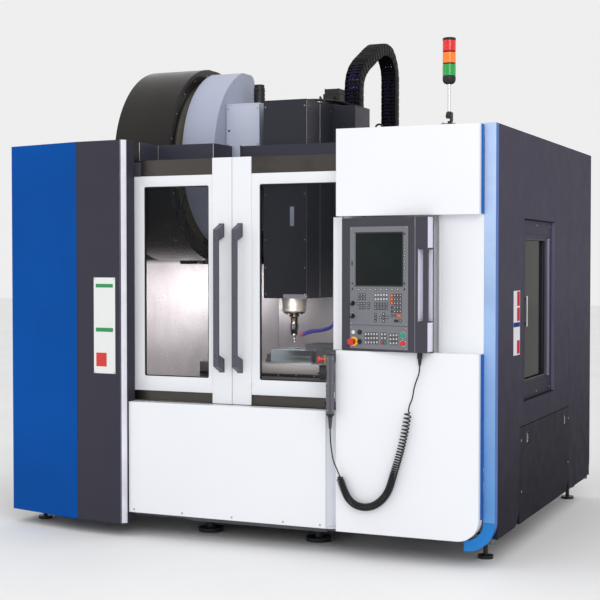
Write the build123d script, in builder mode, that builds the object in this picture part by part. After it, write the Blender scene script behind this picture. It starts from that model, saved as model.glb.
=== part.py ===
from build123d import *
import math
import os

os.makedirs("parts", exist_ok=True)

# ---------------------------------------------------------------------------
# Vertical machining centre with a full enclosure, a side tool magazine, an arm
# type tool changer, a swivelling operator panel and a hand pendant.
# Working coordinates: x to the right, y into the depth from the face of the
# right front cover, z up from the floor.  XO and YO move them so that the
# origin is at the middle of the footprint.
# ---------------------------------------------------------------------------

# driving dimensions, mm
X_LEFT, X_RIGHT = -1520.0, 1392.0        # outer side faces
Y_REAR = 2340.0                          # rear covers
KNOB_OUT = 30.0                          # main switch stands proud of the rear
Z_BASE = 75.0                            # lower edge of the painted panels
Z_TOP = 2188.0                           # top of the front covers
SHEET = 3.0                              # sheet metal
PANEL_OPEN = 10.5                        # the operator panel stands this far open
PANEL_PIVOT = (608.0, 60.0)              # its hinge line
PANEL_W, PANEL_T = 494.0, 68.0
PANEL_Z0, PANEL_Z1 = 1064.0, 1734.0
PEND_X, PEND_Y, PEND_TURN = 552.0, -20.0, 22.3   # the pendant hangs turned by this angle
SPINDLE_X, SPINDLE_Y = -12.0, 800.0        # spindle line
NOSE_Z = 1219.0
TABLE_Z = 938.0
TABLE_L, TABLE_W = 1000.0, 500.0
MAG_Y, MAG_Z = 1076.0, 2108.0            # magazine axis, along x
MAG_R, MAG_TOP = 585.0, 2690.0
COVER_Y, COVER_Z, COVER_R, COVER_TOP = 1136.0, 2138.0, 537.0, 2652.0
POTS = 24
ARM_X, ARM_Y, ARM_L = -320.0, 950.0, 353.0
DOOR_Y0, DOOR_Y1 = 116.0, 150.0
DOOR_Z0, DOOR_Z1 = 748.0, 2072.0
CURL_D, LEAD_D = 40.0, 8.0
HATCH_SCREWS = ((581, 574), (1708, 573), (590, 302), (1706, 309))   # y, z

ca, sa = math.cos(math.radians(PANEL_OPEN)), math.sin(math.radians(PANEL_OPEN))


def swung(x, y):
    """a point of the closed operator panel, at the angle the panel stands at"""
    dx, dy = x - PANEL_PIVOT[0], y - PANEL_PIVOT[1]
    return PANEL_PIVOT[0] + dx * ca + dy * sa, PANEL_PIVOT[1] - dx * sa + dy * ca


Y_FRONT = swung(604 + PANEL_W, 24)[1]    # the panel's outer front corner
XO = -(X_LEFT + X_RIGHT) / 2
YO = -(Y_FRONT + Y_REAR + KNOB_OUT) / 2


def slab(x0, x1, y0, y1, z0, z1, mode=Mode.ADD):
    with Locations(((x0 + x1) / 2 + XO, (y0 + y1) / 2 + YO, (z0 + z1) / 2)):
        Box(x1 - x0, y1 - y0, z1 - z0, mode=mode)


def rod(x, y, z, r, length, axis="Z", mode=Mode.ADD, r2=None):
    turn = {"X": (0, 90, 0), "Y": (-90, 0, 0), "Z": (0, 0, 0)}[axis]
    with Locations(Location((x + XO, y + YO, z), turn)):
        if r2 is None:
            Cylinder(r, length, mode=mode)
        else:
            Cone(r, r2, length, mode=mode)


def plan(points, z0, z1, mode=Mode.ADD):
    """prism of a plan outline"""
    with BuildSketch(Plane.XY.offset(z0)) as sk:
        with BuildLine():
            Polyline(*[(x + XO, y + YO) for x, y in points], close=True)
        make_face()
    extrude(sk.sketch, amount=z1 - z0, mode=mode)


def front(points, y0, y1, mode=Mode.ADD, rounds=()):
    """prism of a front view outline; rounds = [(corner number, radius)]"""
    with BuildSketch(Plane.XZ.offset(-(y0 + YO))) as sk:
        with BuildLine():
            Polyline(*[(x + XO, z) for x, z in points], close=True)
        make_face()
        for n, r in rounds:
            v = sk.vertices().sort_by_distance(Vector(points[n][0] + XO, points[n][1], 0))[0]
            fillet(v, r)
    extrude(sk.sketch, amount=-(y1 - y0), mode=mode)


def side(points, x0, x1, mode=Mode.ADD, rounds=()):
    """prism of a side view outline (y, z)"""
    with BuildSketch(Plane.YZ.offset(x0 + XO)) as sk:
        with BuildLine():
            Polyline(*[(y + YO, z) for y, z in points], close=True)
        make_face()
        for n, r in rounds:
            v = sk.vertices().sort_by_distance(Vector(points[n][0] + YO, points[n][1], 0))[0]
            fillet(v, r)
    extrude(sk.sketch, amount=x1 - x0, mode=mode)


def rect(a0, a1, b0, b1):
    return [(a0, b0), (a1, b0), (a1, b1), (a0, b1)]


def save(builder, name):
    builder.part.label = name
    export_step(builder.part, f"parts/{name}.step")


# ---------------------------------------------------------------------------
# foundation: levelling feet, bed, column, rails
# ---------------------------------------------------------------------------
with BuildPart() as levelling_feet:
    for fx in (-330, 330):
        for fy in (360, 1120, 1880):
            rod(fx, fy, 11, 70, 22)
            rod(fx, fy, 46, 24, 48)
    for fx, fy in ((-1400, 300), (-1400, 2200), (1280, 300), (1280, 2200)):
        rod(fx, fy, 8, 40, 16)
        rod(fx, fy, 45.5, 12, 59)
save(levelling_feet, "levelling_feet")

with BuildPart() as base_casting:
    slab(-420, 420, 255, 1300, 70, 600)
    slab(-460, 460, 1300, 2000, 70, 640)
    slab(-370, 370, 305, 1250, 70, 500, Mode.SUBTRACT)
    slab(-400, 400, 1350, 1950, 70, 580, Mode.SUBTRACT)
    slab(-190, 190, 255, 1300, 520, 600, Mode.SUBTRACT)
    # underframe that carries the enclosure: four short outriggers
    for fy in (300, 2200):
        slab(-1440, 1320, fy - 30, fy + 30, 75, 125)
    for fx in (-440, 440):
        slab(fx - 30, fx + 30, 300, 2200, 75, 125)
save(base_casting, "base_casting")

with BuildPart() as linear_rails:
    for rx in (-260, 260):
        slab(rx - 22, rx + 22, 270, 1290, 600, 631.6)
    for rx in (-170, 170):
        slab(rx - 22, rx + 22, 1300.4, 1330, 1150, 2310)
save(linear_rails, "linear_rails")

with BuildPart() as column:
    slab(-300, 300, 1330, 1950, 640, 2330)
    slab(-262, 262, 1372, 1912, 680, 2300, Mode.SUBTRACT)
    slab(-120, 120, 1330, 1400, 1200, 2250, Mode.SUBTRACT)
    slab(-160, 160, 1890, 1950, 900, 1900, Mode.SUBTRACT)
save(column, "column")

with BuildPart() as servo_motors:
    # z axis motor on the column top, with its connector
    slab(-55, 55, 1335, 1445, 2330, 2543)
    slab(-48, 48, 1342, 1438, 2543, 2578)
    slab(-22, 22, 1318, 1335, 2488, 2528)
    # tool changer motor
    rod(-339, 1018, 2500, 33, 124)
    rod(-339, 1018, 2568, 30, 12)
save(servo_motors, "servo_motors")

# ---------------------------------------------------------------------------
# moving table: saddle along y, table along x
# ---------------------------------------------------------------------------
with BuildPart() as saddle:
    slab(-430, 430, 600, 1000, 632, 800)
    slab(-200, 200, 600, 1000, 632, 700, Mode.SUBTRACT)
    for ry in (650, 950):
        slab(-430, 430, ry - 20, ry + 20, 800, 826)
save(saddle, "saddle")

with BuildPart() as table:
    slab(-TABLE_L / 2, TABLE_L / 2, SPINDLE_Y - TABLE_W / 2, SPINDLE_Y + TABLE_W / 2, 850, TABLE_Z)
    for ry in (650, 950):
        for bx in (-300, 300):
            slab(bx - 60, bx + 60, ry - 34, ry + 34, 826.4, 850)
    for k in range(5):
        ty = SPINDLE_Y + (k - 2) * 100
        slab(-TABLE_L / 2, TABLE_L / 2, ty - 9, ty + 9, TABLE_Z - 18, TABLE_Z, Mode.SUBTRACT)
        slab(-TABLE_L / 2, TABLE_L / 2, ty - 16, ty + 16, TABLE_Z - 32, TABLE_Z - 18, Mode.SUBTRACT)
save(table, "table")

with BuildPart() as vise:
    slab(-150, 330, 700, 960, TABLE_Z, TABLE_Z + 16)
    slab(170, 330, 690, 905, TABLE_Z + 16, TABLE_Z + 73)
    slab(102, 330, 700, 900, TABLE_Z + 73, 1042.0)
    slab(-150, -98, 720, 900, TABLE_Z + 16, TABLE_Z + 40)
    front(rect(190, 330, TABLE_Z, TABLE_Z + 66), 640, 700, rounds=[(3, 30)])
save(vise, "vise")

with BuildPart() as workpiece:
    slab(-95, 165, 700, 905, TABLE_Z + 16, TABLE_Z + 72)
    slab(-95, 165, 655, 700, TABLE_Z + 2, TABLE_Z + 72)
    slab(-60, 40, 730, 850, TABLE_Z + 64, TABLE_Z + 72, Mode.SUBTRACT)
save(workpiece, "workpiece")

# ---------------------------------------------------------------------------
# head along z, spindle
# ---------------------------------------------------------------------------
with BuildPart() as head_casing:
    slab(-146, 123, 668, 1060, 1304, 2436)
    slab(-139, 116, 675, 1053, 1720, 2430, Mode.SUBTRACT)
    slab(-100, 100, 900, 1053, 1350, 1700, Mode.SUBTRACT)
save(head_casing, "head_casing")

with BuildPart() as head_carriage:
    slab(-200, 265, 1060, 1300, 1600, 2436)
    slab(-194, 259, 1066, 1240, 1760, 2430, Mode.SUBTRACT)
save(head_carriage, "head_carriage")

with BuildPart() as spindle_nose:
    rod(SPINDLE_X, SPINDLE_Y, (NOSE_Z + 1304) / 2 + 10, 66, 1304 - NOSE_Z - 20, r2=73)
    rod(SPINDLE_X, SPINDLE_Y, NOSE_Z + 10, 60, 20, r2=62)
    rod(SPINDLE_X, SPINDLE_Y, NOSE_Z + 30, 32.05, 60.4, mode=Mode.SUBTRACT)
save(spindle_nose, "spindle_nose")

with BuildPart() as spindle_tool:
    rod(SPINDLE_X, SPINDLE_Y, NOSE_Z + 20, 32, 72)          # spindle end and taper
    rod(SPINDLE_X, SPINDLE_Y, NOSE_Z - 22, 31.5, 14)        # gripper flange
    rod(SPINDLE_X, SPINDLE_Y, NOSE_Z - 80, 24, 104)
    rod(SPINDLE_X, SPINDLE_Y, NOSE_Z - 134, 20, 8, r2=24)
    rod(SPINDLE_X, SPINDLE_Y, NOSE_Z - 155.5, 8, 36)        # end mill
save(spindle_tool, "spindle_tool")

# ---------------------------------------------------------------------------
# tool magazine and changer
# ---------------------------------------------------------------------------
def drum(x0, x1, y, z, r, top, back=None, corner=0, mode=Mode.ADD):
    """disc along x, flattened at its top and cut off straight at its back"""
    with BuildSketch(Plane.YZ.offset(x0 + XO)) as sk:
        with Locations((y + YO, z)):
            Circle(r)
        with Locations((y + YO, top)):
            Rectangle(3 * r, 400, align=(Align.CENTER, Align.MIN), mode=Mode.SUBTRACT)
        if back:
            with Locations((back + YO, z)):
                Rectangle(900, 3 * r, align=(Align.MIN, Align.CENTER), mode=Mode.SUBTRACT)
        if corner:
            fillet(sk.vertices().sort_by_distance(Vector(back + YO, top, 0))[0], corner)
    extrude(sk.sketch, amount=x1 - x0, mode=mode)


with BuildPart() as magazine_guard:
    drum(-1035, -680, MAG_Y, MAG_Z, MAG_R, MAG_TOP)
    drum(-1032, -683, MAG_Y, MAG_Z, MAG_R - SHEET, MAG_TOP - SHEET, mode=Mode.SUBTRACT)
    rod(-681, MAG_Y, MAG_Z, 490, 8, "X", Mode.SUBTRACT)
    rod(-938, MAG_Y, MAG_Z, 40, 190, "X")
save(magazine_guard, "magazine_guard")

with BuildPart() as magazine_disc:
    rod(-890, MAG_Y, MAG_Z, 445, 16, "X")
    rod(-895, MAG_Y, MAG_Z, 90, 90, "X")
    rod(-895, MAG_Y, MAG_Z, 40.06, 200, "X", Mode.SUBTRACT)
    for k in range(POTS):
        t = 2 * math.pi * k / POTS
        rod(-826, MAG_Y + 420 * math.sin(t), MAG_Z - 420 * math.cos(t), 44, 112, "X")
        rod(-745, MAG_Y + 420 * math.sin(t), MAG_Z - 420 * math.cos(t), 31.5, 50, "X")
    for k in range(6):
        t = 2 * math.pi * (k + 0.5) / 6
        rod(-890, MAG_Y + 230 * math.sin(t), MAG_Z - 230 * math.cos(t), 70, 40, "X", Mode.SUBTRACT)
save(magazine_disc, "magazine_disc")

with BuildPart() as magazine_cover:
    drum(-640, -430, COVER_Y, COVER_Z, COVER_R, COVER_TOP, 1142, 55)
    drum(-643, -433, COVER_Y, COVER_Z, COVER_R - SHEET, COVER_TOP - SHEET, 1139, 52, Mode.SUBTRACT)
    slab(-643, -433, 1130, 1150, 1500, 2560, Mode.SUBTRACT)
save(magazine_cover, "magazine_cover")

with BuildPart() as changer_gearbox:
    slab(-427, -210, 750, 1060, 1700, 2438)
    slab(-420, -217, 757, 1053, 2100, 2433, Mode.SUBTRACT)
    # console that carries the magazine and the gearbox on the column
    slab(-430, -300, 1060, 1400, 1760, 2200)
    slab(-1000, -300, 1661, 1740, 2020, 2200)
    slab(-430, -300, 1400, 1661, 2020, 2200)
    slab(-400, -330, 1064, 1661, 1800, 2160, Mode.SUBTRACT)
save(changer_gearbox, "changer_gearbox")

ux, uy = -0.4247, -0.9053          # parked direction of the arm
with BuildPart() as tool_arm:
    rod(ARM_X, ARM_Y, 1619, 36, 160)
    rod(ARM_X, ARM_Y, 1520, 62, 44)
    half = ARM_L - 20
    plan([(ARM_X + s * half * ux + t * 34 * uy, ARM_Y + s * half * uy - t * 34 * ux)
          for s, t in ((1, 1), (1, -1), (-1, -1), (-1, 1))], 1504, 1536)
    for s in (1, -1):
        rod(ARM_X + s * half * ux, ARM_Y + s * half * uy, 1520, 48, 32)
    for s in (1, -1):
        rod(ARM_X + s * (half + 14) * ux, ARM_Y + s * (half + 14) * uy, 1520, 32, 60, mode=Mode.SUBTRACT)
        slab(ARM_X + s * (half + 34) * ux - 30, ARM_X + s * (half + 34) * ux + 30,
             ARM_Y + s * (half + 44) * uy - 22, ARM_Y + s * (half + 44) * uy + 22, 1490, 1550, Mode.SUBTRACT)
save(tool_arm, "tool_arm")

# ---------------------------------------------------------------------------
# enclosure, right front
# ---------------------------------------------------------------------------
with BuildPart() as right_front_cover:
    # lower box with a large round at its outer lower corner
    front(rect(575, 1328, 135, 1062), 0, 65, rounds=[(1, 110)])
    front(rect(578, 1325, 138, 1059), 3, 65, Mode.SUBTRACT, rounds=[(1, 107)])
    # upper box
    slab(575, 1328, 0, 65, 1745, Z_TOP)
    slab(578, 1325, 3, 65, 1748, Z_TOP - 3, Mode.SUBTRACT)
    # recess behind the operator panel, and the flat beside it
    slab(575, 1122, 96, 99, 1059, 1748)
    slab(522, 575, 96, 99, 1059, 1743)
    slab(1119, 1122, 62, 99, 1059, 1748)
    slab(1122, 1334, 62, 65, 1059, 1748)
    slab(575, 1122, 62, 99, 1059, 1062)
    slab(575, 1122, 62, 99, 1745, 1748)
    # side wall beside the doors
    slab(575, 578, 62, 108, 135, 1059)
    slab(575, 578, 62, 108, 1748, Z_TOP)
    slab(575, 578, 84, 108, 1059, 1748)
    # pendant holder on the side wall
    slab(569, 575, 3, 33, 800, 1000)
save(right_front_cover, "right_front_cover")

with BuildPart() as blue_corner_band:
    front([(1235, 75), (1392, 75), (1392, Z_TOP + 6), (1334, Z_TOP + 6), (1334, 132), (1235, 132)],
          65, 115, rounds=[(1, 150), (4, 92)])
    front([(1235, 78), (1389, 78), (1389, Z_TOP + 3), (1337, Z_TOP + 3), (1337, 129), (1235, 129)],
          68, 115, Mode.SUBTRACT, rounds=[(1, 147), (4, 95)])
save(blue_corner_band, "blue_corner_band")

Z_SIDE0, Z_SIDE1 = 137.0, 2194.0
with BuildPart() as right_side_strips:
    for ya, yb in ((115.5, 545.5), (1722.5, 2336.5)):
        side(rect(ya, yb, Z_SIDE0, Z_SIDE1), 1362, 1392, rounds=[(1, 110)])
        side(rect(ya + 3, yb - 3, Z_SIDE0 + 3, Z_SIDE1 - 3), 1362, 1389, Mode.SUBTRACT, rounds=[(1, 107)])
save(right_side_strips, "right_side_strips")

with BuildPart() as right_middle_panel:
    slab(1362, 1392, 546.5, 1721.5, 647, Z_SIDE1)
    slab(1362, 1389, 549.5, 1718.5, 650, Z_SIDE1 - 3, Mode.SUBTRACT)
    slab(1338, 1392, 622, 1331, 769, 1745)
    slab(1338, 1395, 625, 1328, 772, 1742, Mode.SUBTRACT)
save(right_middle_panel, "right_middle_panel")

with BuildPart() as side_hatch:
    side(rect(546.5, 1721.5, Z_SIDE0, 643), 1362, 1392, rounds=[(1, 110)])
    side(rect(549.5, 1718.5, Z_SIDE0 + 3, 640), 1362, 1389, Mode.SUBTRACT, rounds=[(1, 107)])
    for ly in (722, 1616):
        slab(1380, 1395, ly - 22, ly + 22, 540, 604, Mode.SUBTRACT)
        slab(1378, 1380, ly - 24, ly + 24, 538, 606)
        slab(1380, 1389, ly - 24, ly - 22, 538, 606)
        slab(1380, 1389, ly + 22, ly + 24, 538, 606)
        slab(1380, 1389, ly - 24, ly + 24, 538, 540)
        slab(1380, 1389, ly - 24, ly + 24, 604, 606)
    # screw heads along both upright edges
    for sy, sz in HATCH_SCREWS:
        rod(1390.5, sy, sz, 7, 3, "X")
save(side_hatch, "side_hatch")

with BuildPart() as service_door:
    slab(1346, 1372, 629, 1324, 776, 1738)
    slab(1340, 1375, 700, 1150, 880, 1635, Mode.SUBTRACT)
    slab(1346, 1360, 688, 1162, 868, 1647, Mode.SUBTRACT)
    slab(1372, 1384, 1190, 1222, 880, 1635)
    slab(1364, 1372, 652, 676, 1170, 1330, Mode.SUBTRACT)
save(service_door, "service_door")

with BuildPart() as service_window:
    slab(1354, 1360, 688, 1162, 868, 1647)
save(service_window, "service_window")

# ---------------------------------------------------------------------------
# enclosure, front below the doors and left
# ---------------------------------------------------------------------------
with BuildPart() as lower_front_panel:
    slab(-672, 570, 40, 112, 135, 745)
    fillet(lower_front_panel.edges().filter_by(Axis.Z).group_by(Axis.Y)[0].sort_by(Axis.X)[-1], 68)
    slab(-669, 560, 43, 112, 138, 742, Mode.SUBTRACT)
    slab(480, 580, 38, 43, 100, 800, Mode.SUBTRACT)
    with BuildSketch(Plane.XY.offset(135)) as nose_sk:
        with BuildLine():
            l1 = Line((480 + XO, 40 + YO), (502 + XO, 40 + YO))
            l2 = RadiusArc(l1 @ 1, (570 + XO, 108 + YO), 68)
            l3 = Line(l2 @ 1, (567 + XO, 108 + YO))
            l4 = RadiusArc(l3 @ 1, (502 + XO, 43 + YO), -65)
            l5 = Line(l4 @ 1, (480 + XO, 43 + YO))
            Line(l5 @ 1, l1 @ 0)
        make_face()
    extrude(nose_sk.sketch, amount=610)
save(lower_front_panel, "lower_front_panel")


def strip_plan(points, t):
    """closed outline of a folded strip of thickness t, on its inner side (+y)"""
    n = len(points)
    inner = []
    for i, (x, y) in enumerate(points):
        dirs = []
        for j in (i - 1, i):
            if 0 <= j < n - 1:
                dx, dy = points[j + 1][0] - points[j][0], points[j + 1][1] - points[j][1]
                L = math.hypot(dx, dy)
                dirs.append((-dy / L, dx / L))
        mx, my = sum(d[0] for d in dirs) / len(dirs), sum(d[1] for d in dirs) / len(dirs)
        k = t / (mx * dirs[0][0] + my * dirs[0][1])
        inner.append((x + mx * k, y + my * k))
    return points + inner[::-1]


with BuildPart() as left_blue_panel:
    plan(strip_plan([(-1517, 190), (-1517, 147.3), (-992.8, 20.3), (-986, 60)], SHEET), Z_BASE, 2180)
save(left_blue_panel, "left_blue_panel")

with BuildPart() as left_grey_panel:
    plan(strip_plan([(-984, 60), (-991.5, 20), (-700, 0), (-675, 25), (-675, 112)], SHEET), Z_BASE, 2180)
save(left_grey_panel, "left_grey_panel")

with BuildPart() as left_side_panel:
    side(rect(190.5, 2336.5, Z_BASE, 2180), -1520, -1490, rounds=[(1, 110)])
    side(rect(193.5, 2333.5, Z_BASE + 3, 2177), -1517, -1490, Mode.SUBTRACT, rounds=[(1, 107)])
    for k in range(9):
        slab(-1530, -1510, 1650, 2050, 420 + k * 28, 430 + k * 28, Mode.SUBTRACT)
    for sy in (230, 1260, 2300):
        for sz in (560, 1360, 2120):
            rod(-1518.5, sy, sz, 7, 3, "X")
save(left_side_panel, "left_side_panel")

with BuildPart() as top_band:
    plan(strip_plan([(-673, 170), (-694, 405), (-332, 405), (-322, 634), (1319.5, 634)], SHEET), 1965, 2180)
    slab(-322, -272, 622, 634, 1965, 2183)
save(top_band, "top_band")

with BuildPart() as inner_guards:
    slab(-1450, -1447, 180, 1303.5, 563.4, 2180)
    slab(1320, 1323, 112, 1303.5, 563.4, 2180)
    slab(1310, 1330, 660, 1292, 800, 1720, Mode.SUBTRACT)
    slab(-1450, -1420, 2300, 2330, 125, 2180)
    slab(1290, 1320, 2300, 2330, 125, 2180)
    slab(-1450, -262, 1303.5, 1306.5, 563.4, 1500)
    slab(-1450, -1042, 1303.5, 1306.5, 1500, 2180)
    slab(392, 1323, 1303.5, 1306.5, 563.4, 2180)
    slab(-262, 392, 1303.5, 1306.5, 640.5, 1140)
    slab(-466, 466, 1300, 1310, 560, 640.5, Mode.SUBTRACT)
save(inner_guards, "inner_guards")

with BuildPart() as chip_pan:
    slab(-1446.5, 1319.5, 142, 1303.5, 560, 563)
    slab(-1220, 1140, 112, 142, 560, 563)
    slab(-466, 466, 240, 1310, 550, 570, Mode.SUBTRACT)
    slab(-1220, 1140, 112, 115, 563, 700)
save(chip_pan, "chip_pan")

with BuildPart() as door_rails:
    slab(-1230, 1140, 115, 150, 700, 745)
    slab(-1230, 1140, 156, 168, 2030, 2066)
    for dx in (-1230, 1128):
        slab(dx, dx + 12, 156, 168, 745, 2030)
        slab(dx, dx + 12, 118, 168, 720, 745)
save(door_rails, "door_rails")

# ---------------------------------------------------------------------------
# sliding doors
# ---------------------------------------------------------------------------


def door(x0, x1, s0, s1, g0, g1):
    """frame x0..x1, raised stile s0..s1, window opening g0..g1"""
    slab(x0, x1, 126, DOOR_Y1, DOOR_Z0, DOOR_Z1)
    slab(s0, s1, DOOR_Y0, 126, DOOR_Z0, DOOR_Z1)
    front(rect(g0, g1, 886, 1925), 120, 160, Mode.SUBTRACT, rounds=[(0, 8), (1, 8), (2, 8), (3, 8)])
    slab(g0 - 14, g1 + 14, 136, 160, 872, 1939, Mode.SUBTRACT)


with BuildPart() as left_door_frame:
    door(-700, -75, -191, -75, -617, -217)
save(left_door_frame, "left_door_frame")
with BuildPart() as right_door_frame:
    door(-71, 680, -71, 39, 88, 620)
save(right_door_frame, "right_door_frame")
with BuildPart() as left_door_window:
    slab(-631, -203, 136, 142, 872, 1939)
save(left_door_window, "left_door_window")
with BuildPart() as right_door_window:
    slab(74, 634, 136, 142, 872, 1939)
save(right_door_window, "right_door_window")

for name, hx in (("left_door_handle", -135.0), ("right_door_handle", -25.0)):
    with BuildPart() as handle:
        side([(116, 919), (42, 955), (42, 1685), (116, 1718)], hx - 15, hx + 15)
        side([(116, 990), (56, 1014), (56, 1626), (116, 1648)], hx - 15, hx + 15, Mode.SUBTRACT)
    save(handle, name)

# ---------------------------------------------------------------------------
# operator panel, at its open angle
# ---------------------------------------------------------------------------
PANEL_LOC = Location((PANEL_PIVOT[0] + XO, PANEL_PIVOT[1] + YO, 0), (0, 0, -PANEL_OPEN))


def pslab(x0, x1, y0, y1, z0, z1, mode=Mode.ADD):
    """block given on the closed panel"""
    cx, cy = (x0 + x1) / 2 - PANEL_PIVOT[0], (y0 + y1) / 2 - PANEL_PIVOT[1]
    with Locations(PANEL_LOC * Location((cx, cy, (z0 + z1) / 2))):
        Box(x1 - x0, y1 - y0, z1 - z0, mode=mode)


def prod(x, y, z, r, length, axis="Y", mode=Mode.ADD, r2=None):
    turn = {"X": (0, 90, 0), "Y": (90, 0, 0), "Z": (0, 0, 0)}[axis]
    with Locations(PANEL_LOC * Location((x - PANEL_PIVOT[0], y - PANEL_PIVOT[1], z), turn)):
        if r2 is None:
            Cylinder(r, length, mode=mode)
        else:
            Cone(r, r2, length, mode=mode)


P0, P1 = 604.0, 604.0 + PANEL_W
EST_X, EST_Z = 679.0, 1110.0
BUTTON_Z = (1149.0, 1109.0)
PF = 24.0                                # front face of the closed panel
with BuildPart() as panel_housing:
    pslab(P0, P1, PF, PF + PANEL_T, PANEL_Z0, PANEL_Z1)
    pslab(P0 + 3, 1031, PF + 3, PF + PANEL_T - 3, PANEL_Z0 + 3, PANEL_Z1 - 3, Mode.SUBTRACT)
    # grip: slot in the front, open to the side behind the grip bar
    pslab(1047, 1075, PF - 1, PF + PANEL_T + 1, 1218, 1578, Mode.SUBTRACT)
    pslab(1074, P1 + 1, PF + 17, PF + PANEL_T - 8, 1218, 1578, Mode.SUBTRACT)
    # openings behind the screen, the switch plate and its controls
    pslab(688, 952, PF - 1, PF + 4, 1401, 1650, Mode.SUBTRACT)
    # seam between the panel and the grip
    pslab(1029, 1031, PF - 1, PF + 2, PANEL_Z0, PANEL_Z1, Mode.SUBTRACT)
    # cable gland and strain relief of the pendant cord
    prod(1038, 60, PANEL_Z0 - 15, 13, 30, "Z")
    prod(1038, 60, PANEL_Z0 - 48, 5.5, 36, "Z", r2=10)
    # holes for the controls that are pushed in
    prod(EST_X, PF, EST_Z, 12.6, 20, mode=Mode.SUBTRACT)
    for bz in BUTTON_Z:
        prod(966, PF, bz, 13.5, 20, mode=Mode.SUBTRACT)
    # hinge barrels on the rear left edge
    for hz in (1150, 1650):
        prod(608, 60, hz, 9, 60, "Z", Mode.ADD)
save(panel_housing, "panel_housing")

with BuildPart() as panel_faceplate:
    pslab(655, 993, PF - 3, PF, 1195, 1690)
    pslab(655, 993, PF - 3, PF, 1075, 1193)
    pslab(687, 960, PF - 4, PF + 1, 1395, 1657, Mode.SUBTRACT)
    prod(EST_X, PF, EST_Z, 12.6, 20, mode=Mode.SUBTRACT)
    for bz in BUTTON_Z:
        prod(966, PF, bz, 13.5, 20, mode=Mode.SUBTRACT)
save(panel_faceplate, "panel_faceplate")

with BuildPart() as panel_screen:
    pslab(687, 960, PF - 2.4, PF, 1395, 1657)
save(panel_screen, "panel_screen")

with BuildPart() as panel_estop:
    prod(EST_X, PF - 3.4 - 14, EST_Z, 12, 28)
    prod(EST_X, PF - 3.4 - 33, EST_Z, 17.5, 14)
    fillet(panel_estop.edges().filter_by(GeomType.CIRCLE).sort_by(Axis.Y)[0], 5)
save(panel_estop, "panel_estop")

for name, kz in (("knob_spindle", 1304.0), ("knob_feed", 1239.0)):
    with BuildPart() as knob:
        prod(673, PF - 3.4 - 8, kz, 11.5, 16)
        prod(673, PF - 3.4 - 19, kz, 8, 8)
        pslab(672, 674, PF - 31, PF - 22, kz, kz + 8, Mode.SUBTRACT)
    save(knob, name)

for name, bz in (("start_button", BUTTON_Z[0]), ("stop_button", BUTTON_Z[1])):
    with BuildPart() as button:
        prod(966, PF - 3.4 - 5, bz, 13, 10)
        fillet(button.edges().filter_by(GeomType.CIRCLE).sort_by(Axis.Y)[0], 2)
    save(button, name)

# ---------------------------------------------------------------------------
# hand pendant
# ---------------------------------------------------------------------------
PEND_LOC = Location((PEND_X + XO, PEND_Y + YO, 0), (0, 0, PEND_TURN))


def nslab(x0, x1, y0, y1, z0, z1, mode=Mode.ADD):
    """block given on the pendant: x through its thickness, y across it"""
    with Locations(PEND_LOC * Location(((x0 + x1) / 2, (y0 + y1) / 2, (z0 + z1) / 2))):
        Box(x1 - x0, y1 - y0, z1 - z0, mode=mode)


def nrod(x, y, z, r, length, mode=Mode.ADD):
    with Locations(PEND_LOC * Location((x, y, z), (0, 90, 0))):
        Cylinder(r, length, mode=mode)


with BuildPart() as pendant_body:
    nslab(-20, 20, -36, 36, 738, 1048)
    fillet(pendant_body.edges().filter_by(Axis.Z), 9)
    nslab(20, 23, 16, 34, 850, 960)
    nslab(-26, -19, -30, 30, 987, 1045)
    rod(PEND_X, PEND_Y, 731, 12, 14)
    rod(PEND_X, PEND_Y, 693, 5.5, 64, r2=11)
    nrod(-20, 0, 1017, 8.4, 24, Mode.SUBTRACT)
save(pendant_body, "pendant_body")

with BuildPart() as pendant_wheel:
    nrod(-38.5, 0, 949, 38, 35)
    fillet(pendant_wheel.edges().filter_by(GeomType.CIRCLE).sort_by(Axis.X)[0], 4)
    nrod(-58, -24, 949, 5, 12)
save(pendant_wheel, "pendant_wheel")

with BuildPart() as pendant_estop:
    nrod(-38, 0, 1017, 8, 34)
    nrod(-58, 0, 1017, 17, 14)
    fillet(pendant_estop.edges().filter_by(GeomType.CIRCLE).sort_by(Axis.X)[0], 4)
save(pendant_estop, "pendant_estop")

# ---------------------------------------------------------------------------
# pendant cord: two smooth leads and one curly stretch between them
# ---------------------------------------------------------------------------
gx, gy = swung(1038, 60)


def rounded_radii(points):
    """arc at each corner: 0.45 of its shorter run over the tangent of half the turn"""
    radii = []
    for a, b, c in zip(points, points[1:], points[2:]):
        va, vc = Vector(b) - Vector(a), Vector(c) - Vector(b)
        turn = va.get_angle(vc)
        radii.append(0.45 * min(va.length, vc.length) / math.tan(math.radians(turn / 2)))
    return radii


def tube(points, r):
    """round tube along straight runs joined by tangent arcs"""
    pts = [(x + XO, y + YO, z) for x, y, z in points]
    radii = rounded_radii(pts)
    with BuildLine() as route:
        FilletPolyline(*pts, radius=radii)
    line = route.wire()
    with BuildSketch(Plane(origin=line @ 0, z_dir=line % 0)) as ring:
        Circle(r)
    sweep(ring.sketch, path=line)
    return line.length, radii


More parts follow.
